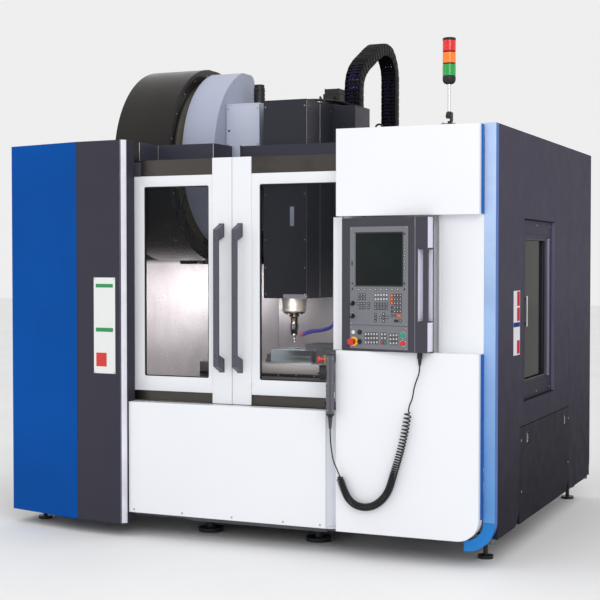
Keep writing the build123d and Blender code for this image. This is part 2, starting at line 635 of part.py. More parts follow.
LEAD_A = [(gx, gy, 997.5), (gx, gy, 965), (1014, -20, 925), (1001, -22, 880), (996, -24, 835),
          (978.7, -26, 798.6), (974, -26, 769)]
CURL = [(974, -26, 769), (963, -26, 700), (940, -26, 590), (898, -26, 455), (868, -26, 352), (800, -26, 284),
        (720, -26, 270), (655, -26, 303), (620, -26, 380), (604, -26, 425)]
LEAD_B = [(604, -26, 425), (592, -26, 458.8), (572, -25, 495), (562, -23, 545), (552, -20, 612), (552, -20, 660.5)]
with BuildPart() as cord_lead_panel:
    la, ra = tube(LEAD_A, LEAD_D / 2)
save(cord_lead_panel, "cord_lead_panel")
with BuildPart() as cord_lead_pendant:
    lb, rb = tube(LEAD_B, LEAD_D / 2)
save(cord_lead_pendant, "cord_lead_pendant")
with BuildPart() as curly_cord:
    lc, rc = tube(CURL, CURL_D / 2)
save(curly_cord, "curly_cord")
print("lead radii", [round(r) for r in ra], [round(r) for r in rb], "curl radii", [round(r) for r in rc])
print("lead lengths", round(la), round(lb), "curl axis", round(lc))
print("lead volume / section x length",
      round((cord_lead_panel.part.volume + cord_lead_pendant.part.volume) / (math.pi * LEAD_D ** 2 / 4 * (la + lb)), 4),
      "curl", round(curly_cord.part.volume / (math.pi * CURL_D ** 2 / 4 * lc), 4))

# ---------------------------------------------------------------------------
# signal tower
# ---------------------------------------------------------------------------
TX, TY = 1158.0, 46.0
with BuildPart() as tower_bracket:
    slab(TX - 32, TX + 32, TY - 30, TY + 30, Z_TOP, Z_TOP + 5)
    slab(TX - 4, TX + 16, TY - 12, TY + 12, Z_TOP + 5, Z_TOP + 18)
    slab(TX + 8, TX + 16, TY - 15, TY + 15, Z_TOP + 18, Z_TOP + 62)
    rod(TX - 4, TY, Z_TOP + 44, 7, 24, "X")
save(tower_bracket, "tower_bracket")

with BuildPart() as tower_stack:
    slab(TX - 18, TX + 7.4, TY - 15, TY + 15, Z_TOP + 26, Z_TOP + 66)
    rod(TX - 5, TY, Z_TOP + 44, 7.06, 60, "X", Mode.SUBTRACT)
    rod(TX, TY, Z_TOP + 133, 8, 142)
    rod(TX, TY, Z_TOP + 220, 32, 36)
    rod(TX, TY, Z_TOP + 327, 32.5, 178)
    rod(TX, TY, Z_TOP + 422, 33, 12)
save(tower_stack, "tower_stack")

# ---------------------------------------------------------------------------
# drag chain between the column top and the head
# ---------------------------------------------------------------------------
CH_X0, CH_X1 = 150.0, 250.0
CHAIN_OUT = [(1170, 2436), (1170, 2640), (1285, 2742), (1400, 2800), (1560, 2884), (1715, 2890), (1772, 2880),
             (1838, 2830), (1883, 2780), (1893, 2690), (1893, 2330)]
CHAIN_IN = [(1800, 2330), (1796, 2616), (1783, 2749), (1748, 2791), (1640, 2794), (1512, 2745), (1411, 2690),
            (1313, 2608), (1250, 2560), (1250, 2436)]
with BuildPart() as drag_chain:
    side(CHAIN_OUT + CHAIN_IN, CH_X0, CH_X1)
save(drag_chain, "drag_chain")

# ---------------------------------------------------------------------------
# rear: electrical cabinet, its door and main switch, covers
# ---------------------------------------------------------------------------
with BuildPart() as electrical_cabinet:
    slab(-500, 500, 2010, 2319, 300, 2150)
    slab(-496, 496, 2014, 2320, 304, 2146, Mode.SUBTRACT)
    slab(-470, 470, 2020, 2024, 340, 2110)
    for sx in (-460, 440):
        for sz in (350, 2080):
            slab(sx, sx + 20, 2014, 2020, sz, sz + 20)
    for py in (420, 1000, 1600, 2050):
        slab(-400, 400, 2024, 2060, py - 20, py + 20)
    for gx2 in (-420, -360, -300):
        rod(gx2, 2262, 302, 16.25, 12, mode=Mode.SUBTRACT)
save(electrical_cabinet, "electrical_cabinet")

with BuildPart() as cabinet_door:
    slab(-498, 498, 2320.4, 2340, 304, 2146)
    slab(-480, 480, 2320, 2336, 322, 2128, Mode.SUBTRACT)
    slab(-300, 60, 2330, 2345, 1820, 2000, Mode.SUBTRACT)
    for k in range(12):
        slab(-300, 60, 2333, 2336, 1826 + k * 15, 1834 + k * 15)
    slab(-304, -300, 2333, 2336, 1818, 2002)
    slab(60, 64, 2333, 2336, 1818, 2002)
save(cabinet_door, "cabinet_door")

with BuildPart() as main_switch:
    rod(330, Y_REAR + 10.2, 1450, 30, 19.6, "Y")
    slab(322, 338, Y_REAR + 20, Y_REAR + KNOB_OUT, 1422, 1478)
save(main_switch, "main_switch")

with BuildPart() as rear_covers:
    slab(X_LEFT + 3, -504, 2337, 2340, Z_SIDE0, 2180)
    slab(504, X_RIGHT - 3, 2337, 2340, Z_SIDE0, 2180)
    slab(-507, -504, 2320, 2337, Z_SIDE0, 2180)
    slab(504, 507, 2320, 2337, Z_SIDE0, 2180)
    slab(-504, 504, 2337, 2340, Z_SIDE0, 296)
    slab(-504, 504, 2337, 2340, 2152, 2180)
save(rear_covers, "rear_covers")

print("XO", round(XO, 3), "YO", round(YO, 3), "front", round(Y_FRONT, 3))
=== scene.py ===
import bisect
import bpy
import bmesh
import math
from mathutils import Matrix, Vector


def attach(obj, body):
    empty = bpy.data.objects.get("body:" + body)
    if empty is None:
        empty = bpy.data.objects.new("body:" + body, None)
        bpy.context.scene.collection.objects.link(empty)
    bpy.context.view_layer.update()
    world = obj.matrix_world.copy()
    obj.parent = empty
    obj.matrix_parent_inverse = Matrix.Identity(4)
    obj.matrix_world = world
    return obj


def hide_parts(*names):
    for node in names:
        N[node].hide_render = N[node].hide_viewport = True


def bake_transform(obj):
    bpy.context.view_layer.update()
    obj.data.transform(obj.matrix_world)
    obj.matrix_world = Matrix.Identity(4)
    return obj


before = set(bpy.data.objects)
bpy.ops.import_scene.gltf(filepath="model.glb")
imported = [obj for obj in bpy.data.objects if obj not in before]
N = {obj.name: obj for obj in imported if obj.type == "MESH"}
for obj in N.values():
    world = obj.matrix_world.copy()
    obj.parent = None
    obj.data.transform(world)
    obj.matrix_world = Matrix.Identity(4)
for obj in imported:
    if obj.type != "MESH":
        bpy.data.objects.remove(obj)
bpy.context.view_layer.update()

XO, YO = 0.064, -1.152654          # working millimetres to the shared frame
SC = bpy.context.scene


# ---------------------------------------------------------------------------
# geometry kit: shapes are given in millimetres, x right, y into the depth, z up
# ---------------------------------------------------------------------------
BASE = Matrix.Translation((XO, YO, 0)) @ Matrix.Scale(0.001, 4)
PIVOT = (608.0, 60.0)
PANEL = BASE @ Matrix.Translation((PIVOT[0], PIVOT[1], 0)) @ Matrix.Rotation(math.radians(-10.5), 4, "Z") \
    @ Matrix.Translation((-PIVOT[0], -PIVOT[1], 0))


def rrect(a0, a1, b0, b1, r, n=5):
    """rounded rectangle, counter-clockwise"""
    pts = []
    for cx, cy, t0 in ((a1 - r, b0 + r, -90), (a1 - r, b1 - r, 0), (a0 + r, b1 - r, 90), (a0 + r, b0 + r, 180)):
        for k in range(n + 1):
            t = math.radians(t0 + 90 * k / n)
            pts.append((cx + r * math.cos(t), cy + r * math.sin(t)))
    return pts


class Piece:
    """one mesh collected from several shapes"""

    def __init__(self, name, body, mats, place=None, angle=35):
        self.name, self.body = name, body
        self.mats = mats if isinstance(mats, (list, tuple)) else [mats]
        self.place = place or BASE
        self.bm = bmesh.new()
        self.angle = angle

    def add(self, verts, faces, r=0, seg=2, m=0, M=None):
        b = bmesh.new()
        vs = [b.verts.new(Vector(v)) for v in verts]
        for f in faces:
            try:
                b.faces.new([vs[i] for i in f])
            except ValueError:
                pass
        bmesh.ops.recalc_face_normals(b, faces=b.faces)
        if r > 0:
            es = [e for e in b.edges if len(e.link_faces) == 2 and e.calc_face_angle(0) > 0.5]
            bmesh.ops.bevel(b, geom=es, offset=r, segments=seg, profile=0.5, affect="EDGES", clamp_overlap=True)
        for f in b.faces:
            f.material_index = m
            f.smooth = True
        if M is not None:
            b.transform(M)
        me = bpy.data.meshes.new("tmp")
        b.to_mesh(me)
        b.free()
        self.bm.from_mesh(me)
        bpy.data.meshes.remove(me)
        return self

    def box(self, x0, x1, y0, y1, z0, z1, r=0, seg=2, m=0, M=None):
        v = [(x, y, z) for z in (z0, z1) for y in (y0, y1) for x in (x0, x1)]
        f = [(0, 2, 3, 1), (4, 5, 7, 6), (0, 1, 5, 4), (2, 6, 7, 3), (0, 4, 6, 2), (1, 3, 7, 5)]
        return self.add(v, f, r, seg, m, M)

    def prism(self, pts, axis, a0, a1, r=0, seg=2, m=0, M=None):
        """outline in (y,z) for x, (x,z) for y, (x,y) for z"""
        def put(p, a):
            return {"x": (a, p[0], p[1]), "y": (p[0], a, p[1]), "z": (p[0], p[1], a)}[axis]
        n = len(pts)
        v = [put(p, a0) for p in pts] + [put(p, a1) for p in pts]
        f = [tuple(range(n)), tuple(range(n, 2 * n))] + [(i, (i + 1) % n, n + (i + 1) % n, n + i) for i in range(n)]
        return self.add(v, f, r, seg, m, M)

    def ring(self, outer, inner, axis, a0, a1, r=0, seg=2, m=0, M=None):
        def put(p, a):
            return {"x": (a, p[0], p[1]), "y": (p[0], a, p[1]), "z": (p[0], p[1], a)}[axis]
        n = len(outer)
        v = [put(p, a) for a in (a0, a1) for loop in (outer, inner) for p in loop]
        f = []
        for i in range(n):
            j = (i + 1) % n
            f += [(i, j, n + j, n + i), (2 * n + i, 2 * n + j, 3 * n + j, 3 * n + i),
                  (i, j, 2 * n + j, 2 * n + i), (n + i, n + j, 3 * n + j, 3 * n + i)]
        return self.add(v, f, r, seg, m, M)

    def lathe(self, prof, at, axis="z", n=40, m=0, M=None, arc=(0, 360)):
        """profile of (radius, height) pairs turned about a line through at"""
        v, f = [], []
        full = abs(arc[1] - arc[0]) >= 359.9
        steps = n if full else n + 1
        for k in range(steps):
            t = math.radians(arc[0] + (arc[1] - arc[0]) * k / n)
            for r_, h in prof:
                a, b = r_ * math.cos(t), r_ * math.sin(t)
                p = {"x": (h, a, b), "y": (a, h, b), "z": (a, b, h)}[axis]
                v.append((p[0] + at[0], p[1] + at[1], p[2] + at[2]))
        L = len(prof)
        for k in range(n):
            k2 = (k + 1) % steps
            for i in range(L - 1):
                f.append((k * L + i, k * L + i + 1, k2 * L + i + 1, k2 * L + i))
        b = bmesh.new()
        vs = [b.verts.new(p) for p in v]
        for q in f:
            try:
                b.faces.new([vs[i] for i in q])
            except ValueError:
                pass
        bmesh.ops.remove_doubles(b, verts=b.verts, dist=1e-5)
        if full:
            bmesh.ops.holes_fill(b, edges=[e for e in b.edges if e.is_boundary], sides=0)
        bmesh.ops.recalc_face_normals(b, faces=b.faces)
        for q in b.faces:
            q.material_index = m
            q.smooth = True
        if M is not None:
            b.transform(M)
        me = bpy.data.meshes.new("tmp")
        b.to_mesh(me)
        b.free()
        self.bm.from_mesh(me)
        bpy.data.meshes.remove(me)
        return self

    def cyl(self, at, r, h0, h1, axis="z", e=0.0, n=32, m=0, M=None):
        """cylinder with rounded rims of radius e"""
        prof = [(0, h0)]
        if e > 0:
            prof += [(r - e, h0), (r - e * 0.3, h0 + e * 0.3), (r, h0 + e), (r, h1 - e), (r - e * 0.3, h1 - e * 0.3), (r - e, h1)]
        else:
            prof += [(r, h0), (r, h1)]
        return self.lathe(prof + [(0, h1)], at, axis, n, m, M)

    def tube(self, pts, r, n=12, m=0, cap=True):
        """round tube along points (smooth frames)"""
        P = [Vector(p) for p in pts]
        v, f = [], []
        t = (P[1] - P[0]).normalized()
        u = t.orthogonal().normalized()
        for i, p in enumerate(P):
            a = P[min(i + 1, len(P) - 1)] - P[max(i - 1, 0)]
            t2 = a.normalized()
            u = (u - t2 * u.dot(t2)).normalized()
            w = t2.cross(u)
            for k in range(n):
                c = 2 * math.pi * k / n
                v.append(p + (u * math.cos(c) + w * math.sin(c)) * r)
        for i in range(len(P) - 1):
            for k in range(n):
                f.append((i * n + k, i * n + (k + 1) % n, (i + 1) * n + (k + 1) % n, (i + 1) * n + k))
        if cap:
            f += [tuple(range(n)), tuple(range((len(P) - 1) * n, len(P) * n))]
        return self.add(v, f, 0, 1, m)

    def done(self, replaces=()):
        self.bm.transform(self.place)
        for v in self.bm.verts:
            v.co.x = min(max(v.co.x, -1.456), 1.456)
            v.co.y = max(v.co.y, -1.2278)
        me = bpy.data.meshes.new(self.name)
        self.bm.to_mesh(me)
        self.bm.free()
        for mt in self.mats:
            me.materials.append(mt)
        me.set_sharp_from_angle(angle=math.radians(self.angle))
        o = bpy.data.objects.new(self.name, me)
        SC.collection.objects.link(o)
        if self.body:
            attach(o, self.body)
        if replaces:
            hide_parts(*replaces)
        return o


# ---------------------------------------------------------------------------
# materials
# ---------------------------------------------------------------------------
def lin(r, g, b):
    return tuple((v / 255 / 12.92 if v <= 10 else ((v / 255 + 0.055) / 1.055) ** 2.4) for v in (r, g, b)) + (1.0,)


class Mat:
    def __init__(self, name):
        self.m = bpy.data.materials.new(name)
        self.m.use_nodes = True
        self.t = self.m.node_tree
        self.b = self.t.nodes["Principled BSDF"]
        self.coord = self.new("ShaderNodeTexCoord").outputs["Object"]

    def new(self, kind, **k):
        n = self.t.nodes.new(kind)
        for a, v in k.items():
            setattr(n, a, v)
        return n

    def link(self, a, b):
        self.t.links.new(a, b)

    def mapped(self, scale):
        n = self.new("ShaderNodeMapping")
        n.inputs["Scale"].default_value = scale
        self.link(self.coord, n.inputs["Vector"])
        return n.outputs["Vector"]

    def noise(self, scale, detail=4.0, rough=0.55, stretch=None, distort=0.0):
        n = self.new("ShaderNodeTexNoise")
        n.inputs["Scale"].default_value = scale
        n.inputs["Detail"].default_value = detail
        n.inputs["Roughness"].default_value = rough
        n.inputs["Distortion"].default_value = distort
        self.link(self.mapped(stretch) if stretch else self.coord, n.inputs["Vector"])
        return n.outputs["Fac"]

    def ramp(self, fac, a, b, c0=0.0, c1=1.0):
        n = self.new("ShaderNodeMapRange")
        n.inputs["From Min"].default_value = a
        n.inputs["From Max"].default_value = b
        n.inputs["To Min"].default_value = c0
        n.inputs["To Max"].default_value = c1
        self.link(fac, n.inputs["Value"])
        return n.outputs["Result"]

    def mix(self, fac, a, b):
        n = self.new("ShaderNodeMix", data_type="RGBA")
        if isinstance(fac, float):
            n.inputs[0].default_value = fac
        else:
            self.link(fac, n.inputs[0])
        for sock, v in ((n.inputs[6], a), (n.inputs[7], b)):
            if isinstance(v, tuple):
                sock.default_value = v
            else:
                self.link(v, sock)
        return n.outputs[2]

    def field(self, y0, y1, z0, z1):
        """1 inside a rectangle on an upright side face, in machine millimetres"""
        sep = self.new("ShaderNodeSeparateXYZ")
        self.link(self.coord, sep.inputs[0])
        out = None
        for axis, a, c, shift in (("Y", y0, y1, -1152.654), ("Z", z0, z1, 0)):
            n = self.new("ShaderNodeMath", operation="COMPARE")
            self.link(sep.outputs[axis], n.inputs[0])
            n.inputs[1].default_value = ((a + c) / 2 + shift) / 1000
            n.inputs[2].default_value = abs(c - a) / 2000
            if out is None:
                out = n.outputs[0]
            else:
                m = self.new("ShaderNodeMath", operation="MULTIPLY")
                self.link(out, m.inputs[0])
                self.link(n.outputs[0], m.inputs[1])
                out = m.outputs[0]
        return out

    def color(self, c):
        self.link(c, self.b.inputs["Base Color"])

    def rough(self, c):
        self.link(c, self.b.inputs["Roughness"])

    def surface(self, bumps=(), bevel=0.0):
        """bump layers (height, strength, distance) over softened edges"""
        last = None
        if bevel:
            n = self.new("ShaderNodeBevel", samples=4)
            n.inputs["Radius"].default_value = bevel
            last = n.outputs["Normal"]
        for h, strength, dist in bumps:
            n = self.new("ShaderNodeBump")
            n.inputs["Strength"].default_value = strength
            n.inputs["Distance"].default_value = dist
            self.link(h, n.inputs["Height"])
            if last is not None:
                self.link(last, n.inputs["Normal"])
            last = n.outputs["Normal"]
        if last is not None:
            self.link(last, self.b.inputs["Normal"])


def shade(c, k):
    return tuple(min(v * k, 1.0) for v in c[:3]) + (1.0,)


def paint(name, rgb, rough=0.4, metal=0.0, var=0.06, grain=0.25, gscale=900.0, rvar=0.05, bevel=0.0015, coat=0.0,
          spec=0.5, dirt=0.0, wave=0.03, low=0.0, ior=1.5, fields=()):
    """sprayed or powder-coated metal, moulded plastic: slight mottling, fine grain, soft edges"""
    M = Mat(name)
    c = lin(*rgb)
    col = M.mix(M.ramp(M.noise(1.6, 3), 0.3, 0.7), shade(c, 1 - var), shade(c, 1 + var))
    if dirt:
        col = M.mix(M.ramp(M.noise(7, 6, 0.65), 0.52, 0.75, 0, dirt), col, shade(c, 0.45))
    # low paints shade: the colour darkens towards the bottom, from 1.35 m down to 0.3 m
    if low:
        sep = M.new("ShaderNodeSeparateXYZ")
        M.link(M.coord, sep.inputs[0])
        col = M.mix(M.ramp(sep.outputs["Z"], 0.3, 1.35, low, 0), col, shade(c, 0.28))
    for box, tone in fields:
        col = M.mix(M.field(*box), col, lin(*tone))
    M.b.inputs["IOR"].default_value = ior
    M.color(col)
    M.rough(M.ramp(M.noise(9, 4), 0.3, 0.7, rough - rvar, rough + rvar))
    M.b.inputs["Metallic"].default_value = metal
    M.b.inputs["Coat Weight"].default_value = coat
    M.b.inputs["Coat Roughness"].default_value = 0.12
    M.b.inputs["Specular IOR Level"].default_value = spec
    M.surface([(M.noise(gscale, 2), grain, 0.0002), (M.noise(3.2, 1), wave, 0.004)], bevel)
    return M.m


def brushed(name, rgb, rough=0.28, along="x", var=0.12, metal=1.0, bevel=0.0012, stain=0.0):
    M = Mat(name)
    c = lin(*rgb)
    st = {"x": (2, 300, 300), "y": (300, 2, 300), "z": (300, 300, 2)}[along]
    h = M.noise(3.0, 6, 0.7, stretch=st)
    col = M.mix(M.ramp(h, 0.3, 0.7), shade(c, 1 - var), shade(c, 1 + var))
    if stain:
        col = M.mix(M.ramp(M.noise(3.5, 5, 0.6), 0.5, 0.72, 0, stain), col, shade(c, 0.4))
    M.color(col)
    M.rough(M.ramp(h, 0.25, 0.75, rough - 0.07, rough + 0.1))
    M.b.inputs["Metallic"].default_value = metal
    M.surface([(h, 0.12, 0.0003)], bevel)
    return M.m


white = paint("white_paint", (236, 238, 243), 0.34, var=0.012, grain=0.12, rvar=0.03, bevel=0.004, coat=0.15)
door_white = paint("door_white_paint", (232, 234, 238), 0.3, var=0.012, grain=0.1, rvar=0.03, bevel=0.002, coat=0.2)
dark = paint("dark_grey_paint", (57, 56, 67), 0.5, var=0.05, grain=0.5, gscale=700, bevel=0.002, spec=0.12)
# side panels: low paints shade towards the floor; the pale line at y 548–550 is a painted highlight on the hatch's
# front edge
side_dark = paint("side_dark_paint", (72, 69, 83), 0.48, var=0.04, grain=0.5, gscale=700, bevel=0.002, ior=1.06, low=0.92,
                  fields=[((548, 550, 650, 2200), (104, 100, 116)), ((1716, 1718, 650, 2200), (50, 48, 56))])
rail_alu = paint("rail_aluminium", (122, 116, 142), 0.36, metal=0.45, var=0.06, grain=0.2, bevel=0.001)
satin_steel = paint("satin_steel", (186, 178, 170), 0.36, metal=0.5, var=0.08, grain=0.2, bevel=0.001)
table_side = paint("table_side_steel", (158, 152, 152), 0.42, metal=0.3, var=0.1, grain=0.3, bevel=0.001, dirt=0.2)
# side hatch: low paints shade towards the floor; the pale short lines at z 604–606.5 over the latch recesses are
# painted edge highlights
hatch_dark = paint("side_hatch_paint", (62, 60, 71), 0.48, var=0.04, grain=0.5, gscale=700, bevel=0.002, ior=1.06, low=0.92,
                   fields=[((y - 6, y + 6, z - 5, z + 5), (170, 170, 180)) for y, z in ((581, 574), (1708, 573), (590, 302), (1706, 309))]
                   + [((1400, 1720, 249, 251.5), (26, 26, 30)), ((702, 742, 604, 606.5), (110, 110, 120)),
                      ((1596, 1636, 604, 606.5), (110, 110, 120))])
# plain colour fields only, with nothing written on them
# low paints shade towards the floor here too
strip_dark = paint("side_strip_paint", (72, 69, 83), 0.48, var=0.04, grain=0.5, gscale=700, bevel=0.002, ior=1.06, low=0.92,
                   fields=[((410, 540, 1030, 1364), (222, 220, 226)), ((480, 536, 1284, 1360), (196, 40, 48)),
                           ((480, 536, 1206, 1276), (196, 40, 48)), ((412, 538, 1176, 1200), (28, 58, 130)),
                           ((480, 536, 1036, 1106), (196, 40, 48))])
chain_black = paint("chain_black", (9, 9, 12), 0.5, var=0.08, grain=0.3, bevel=0.0006, ior=1.2)
# its tan colour paints a reflection seen inside the magazine drum's rim; dirt adds real dirt
tan_painted_reflection = paint("tan_painted_reflection", (112, 104, 86), 0.42, metal=0.3, var=0.12, grain=0.4, bevel=0.001, dirt=0.4)
pendant_grey = paint("pendant_grey", (98, 96, 104), 0.45, var=0.04, grain=0.5, gscale=1200, bevel=0.0012, spec=0.3)
beam = paint("beam_paint", (60, 60, 73), 0.42, var=0.05, grain=0.3, bevel=0.002, spec=0.2)
head_paint = paint("head_paint", (44, 44, 55), 0.4, var=0.05, grain=0.25, bevel=0.003, spec=0.25)
pale_light = paint("pale_grey_light", (196, 202, 220), 0.42, var=0.03, grain=0.35, bevel=0.002)
pale = paint("pale_grey_paint", (166, 172, 193), 0.42, var=0.03, grain=0.35, bevel=0.002)
black_gloss = paint("black_gloss_paint", (44, 42, 39), 0.24, metal=0.3, var=0.2, grain=0.1, rvar=0.05, bevel=0.002, ior=1.3)
black = paint("black_plastic", (20, 20, 22), 0.5, var=0.06, grain=0.4, bevel=0.0008)
black_part = paint("black_satin_metal", (20, 20, 23), 0.42, var=0.05, grain=0.3, bevel=0.001)
handle_grey = paint("handle_grey", (82, 83, 93), 0.38, metal=0.35, var=0.05, grain=0.3, bevel=0.0015)
housing = paint("panel_housing_paint", (62, 60, 70), 0.45, var=0.04, grain=0.5, gscale=1200, bevel=0.0015, spec=0.3)
plate_grey = paint("faceplate_grey", (112, 113, 120), 0.42, var=0.03, grain=0.3, gscale=1500, bevel=0.0004)
cream_grip = paint("grip_inlay", (222, 220, 236), 0.36, var=0.02, grain=0.15, bevel=0.001)
casting = paint("cast_paint", (112, 116, 120), 0.6, var=0.08, grain=0.9, gscale=160, bevel=0.004, dirt=0.5)
key_light = paint("key_light", (188, 190, 192), 0.45, var=0.02, bevel=0)
key_mid = paint("key_mid", (122, 123, 130), 0.45, var=0.02, bevel=0)
key_dark = paint("key_dark", (30, 30, 34), 0.45, var=0.03, bevel=0)
key_orange = paint("key_orange", (232, 110, 52), 0.42, var=0.03, bevel=0)
red = paint("red_plastic", (206, 24, 22), 0.28, var=0.03, grain=0.05, bevel=0, coat=0.4)
yellow = paint("yellow_plastic", (240, 190, 30), 0.35, var=0.03, grain=0.1, bevel=0)
green = paint("green_plastic", (16, 150, 106), 0.32, var=0.03, grain=0.05, bevel=0, coat=0.3)
white_btn = paint("white_plastic", (225, 226, 228), 0.35, var=0.02, grain=0.1, bevel=0)
label_white = paint("label_white", (228, 230, 228), 0.4, var=0.02, grain=0.1, bevel=0)
label_green = paint("label_green", (24, 140, 76), 0.4, var=0.03, grain=0.1, bevel=0)
label_red = paint("label_red", (205, 45, 38), 0.4, var=0.03, grain=0.1, bevel=0)
label_blue = paint("label_blue", (40, 84, 160), 0.4, var=0.03, grain=0.1, bevel=0)
rubber = paint("black_rubber", (16, 16, 18), 0.55, var=0.1, grain=0.5, bevel=0)
hose_blue = paint("coolant_hose_blue", (52, 46, 150), 0.38, var=0.08, grain=0.1, bevel=0)
hose_red = paint("nozzle_red", (170, 50, 60), 0.4, var=0.05, grain=0.1, bevel=0)
cable_blue = paint("hose_cover_blue", (34, 40, 140), 0.4, var=0.08, grain=0.2, bevel=0)
# band_stainless_painted_reflection: the dark brownish colour paints the dark surroundings reflected in the polished
# bands; stain darkens it in patches
band_steel_dark_reflection = brushed("band_stainless_painted_reflection", (82, 78, 75), 0.3, "x", 0.12, stain=0.55)
wall_steel = brushed("wall_stainless", (196, 190, 190), 0.34, "z", 0.06, metal=0.75, stain=0.3)
ground = brushed("ground_steel", (176, 170, 162), 0.22, "z", 0.08)
turned = brushed("turned_steel", (190, 178, 158), 0.2, "z", 0.1)
steel_y = brushed("rail_steel", (170, 172, 175), 0.2, "y", 0.08)
table_top = brushed("table_cast_iron", (150, 150, 148), 0.36, "x", 0.1, metal=0.8, stain=0.3)
vise_metal = brushed("vise_steel", (84, 84, 88), 0.38, "x", 0.1, metal=0.7)
billet = brushed("milled_billet", (186, 196, 204), 0.2, "x", 0.12)
alu = brushed("aluminium_rail", (205, 207, 210), 0.3, "z", 0.06)
chrome = brushed("bright_pole", (214, 214, 216), 0.12, "z", 0.03)
screw = brushed("screw_zinc", (168, 166, 160), 0.3, "x", 0.1, bevel=0)


# --- special finishes ------------------------------------------------------
def left_blue_mat():
    M = Mat("left_blue_paint")
    c = lin(0, 76, 158)
    M.color(M.mix(M.ramp(M.noise(1.1, 3), 0.3, 0.7), shade(c, 0.9), shade(c, 1.12)))
    M.rough(M.ramp(M.noise(9, 4), 0.3, 0.7, 0.28, 0.38))
    M.b.inputs["Specular IOR Level"].default_value = 0.05
    M.surface([(M.noise(900, 2), 0.15, 0.0002)], 0.003)
    return M.m


def painted_sheen_mat(name, top, low, glint, split=None, amount=0.5):
    """metallic sheet whose pale colour and bright glints paint the sheen of its glossy paint; a darker stretch below
    split
    """
    M = Mat(name)
    f = M.noise(420, 3, 0.75)
    glints = M.ramp(f, 0.56, 0.68, 0, amount)
    clouds = M.ramp(M.noise(5, 4), 0.3, 0.7)
    base = M.mix(clouds, shade(lin(*top), 0.88), shade(lin(*top), 1.1))
    col = M.mix(glints, base, lin(*glint))
    if split:
        sep = M.new("ShaderNodeSeparateXYZ")
        M.link(M.coord, sep.inputs[0])
        z = M.ramp(sep.outputs["Z"], split[0], split[1])
        # painted sheen fading: the front turns a deeper blue towards the bottom
        col = M.mix(M.ramp(sep.outputs["Z"], 0.3, 1.9, 0.9, 0), col, M.mix(glints, lin(64, 138, 206), lin(130, 182, 226)))
        col = M.mix(z, M.mix(glints, lin(*low), shade(lin(*low), 1.35)), col)
        # everything behind the front face is plain strong blue
        col = M.mix(M.ramp(sep.outputs["Y"], -1.0865, -1.0860), col, lin(0, 92, 178))
    M.color(col)
    M.b.inputs["Metallic"].default_value = 0.15
    M.rough(M.ramp(f, 0.3, 0.7, 0.32, 0.5))
    M.surface([(f, 0.35, 0.0004)], 0.003)
    return M.m


def drops_mat(name, rgb, metal=0.6, rough=0.34, above=None):
    """sheet steel wet with coolant: small drops and runs"""
    M = Mat(name)
    c = lin(*rgb)
    v = M.new("ShaderNodeTexVoronoi")
    v.inputs["Scale"].default_value = 62
    M.link(M.coord, v.inputs["Vector"])
    keep = M.ramp(M.noise(14, 3), 0.45, 0.6)
    drop = M.ramp(v.outputs["Distance"], 0.12, 0.34, 1, 0)
    mul = M.new("ShaderNodeMath", operation="MULTIPLY")
    M.link(keep, mul.inputs[0])
    M.link(drop, mul.inputs[1])
    run = M.ramp(M.noise(2.6, 6, 0.62, stretch=(1.5, 1.5, 0.9), distort=0.6), 0.3, 0.7)
    col = M.mix(run, shade(c, 0.74), shade(c, 1.12))
    fine = M.ramp(M.noise(120, 4, 0.7), 0.56, 0.72, 0, 0.35)
    col = M.mix(fine, col, shade(c, 0.5))
    foot = M.new("ShaderNodeSeparateXYZ")
    M.link(M.coord, foot.inputs[0])
    col = M.mix(M.ramp(foot.outputs["Z"], 0.9, 1.2, 0.5, 0), col, shade(c, 0.35))
    col = M.mix(mul.outputs[0], col, shade(c, 1.3))
    if above:
        sep = M.new("ShaderNodeSeparateXYZ")
        M.link(M.coord, sep.inputs[0])
        col = M.mix(M.ramp(sep.outputs["Z"], above, above + 0.03), col, (0.006, 0.006, 0.008, 1))
        M.link(M.ramp(sep.outputs["Z"], above, above + 0.03, 0.5, 0.2), M.b.inputs["Specular IOR Level"])
    M.color(col)
    M.b.inputs["Metallic"].default_value = metal
    M.rough(M.ramp(mul.outputs[0], 0, 1, rough, 0.06))
    M.surface([(mul.outputs[0], 0.5, 0.0015), (M.noise(60, 4), 0.25, 0.0008)], 0.001)
    return M.m


def glass_mat(name, tint, clear=0.93, rough=0.02):
    M = Mat(name)
    M.b.inputs["Base Color"].default_value = tint
    M.b.inputs["Roughness"].default_value = rough
    M.rough(M.ramp(M.noise(6, 4), 0.3, 0.7, rough, rough + 0.03))
    M.b.inputs["Specular IOR Level"].default_value = 0.5
    M.b.inputs["Alpha"].default_value = 1 - clear
    return M.m


def screen_mat():
    M = Mat("screen_off")
    M.color(M.mix(M.ramp(M.noise(3, 2), 0.3, 0.7), lin(8, 14, 16), lin(16, 26, 26)))
    M.rough(M.ramp(M.noise(12, 3), 0.3, 0.7, 0.1, 0.16))
    M.b.inputs["IOR"].default_value = 1.25
    return M.m


def lens_mat(name, rgb, glow=0.12):
    """ribbed translucent lamp lens"""
    M = Mat(name)
    c = lin(*rgb)
    w = M.new("ShaderNodeTexWave", wave_type="BANDS", bands_direction="Z")
    w.inputs["Scale"].default_value = 60
    M.link(M.coord, w.inputs["Vector"])
    M.color(M.mix(M.ramp(w.outputs["Fac"], 0, 1), shade(c, 0.75), shade(c, 1.15)))
    M.b.inputs["Roughness"].default_value = 0.18
    M.rough(M.ramp(M.noise(30, 3), 0.3, 0.7, 0.15, 0.24))
    M.b.inputs["Subsurface Weight"].default_value = 0.25
    M.b.inputs["Subsurface Radius"].default_value = (0.02, 0.01, 0.01)
    M.b.inputs["Emission Color"].default_value = c
    M.b.inputs["Emission Strength"].default_value = glow
    M.b.inputs["Coat Weight"].default_value = 0.5
    M.surface([(w.outputs["Fac"], 0.25, 0.0008)])
    return M.m


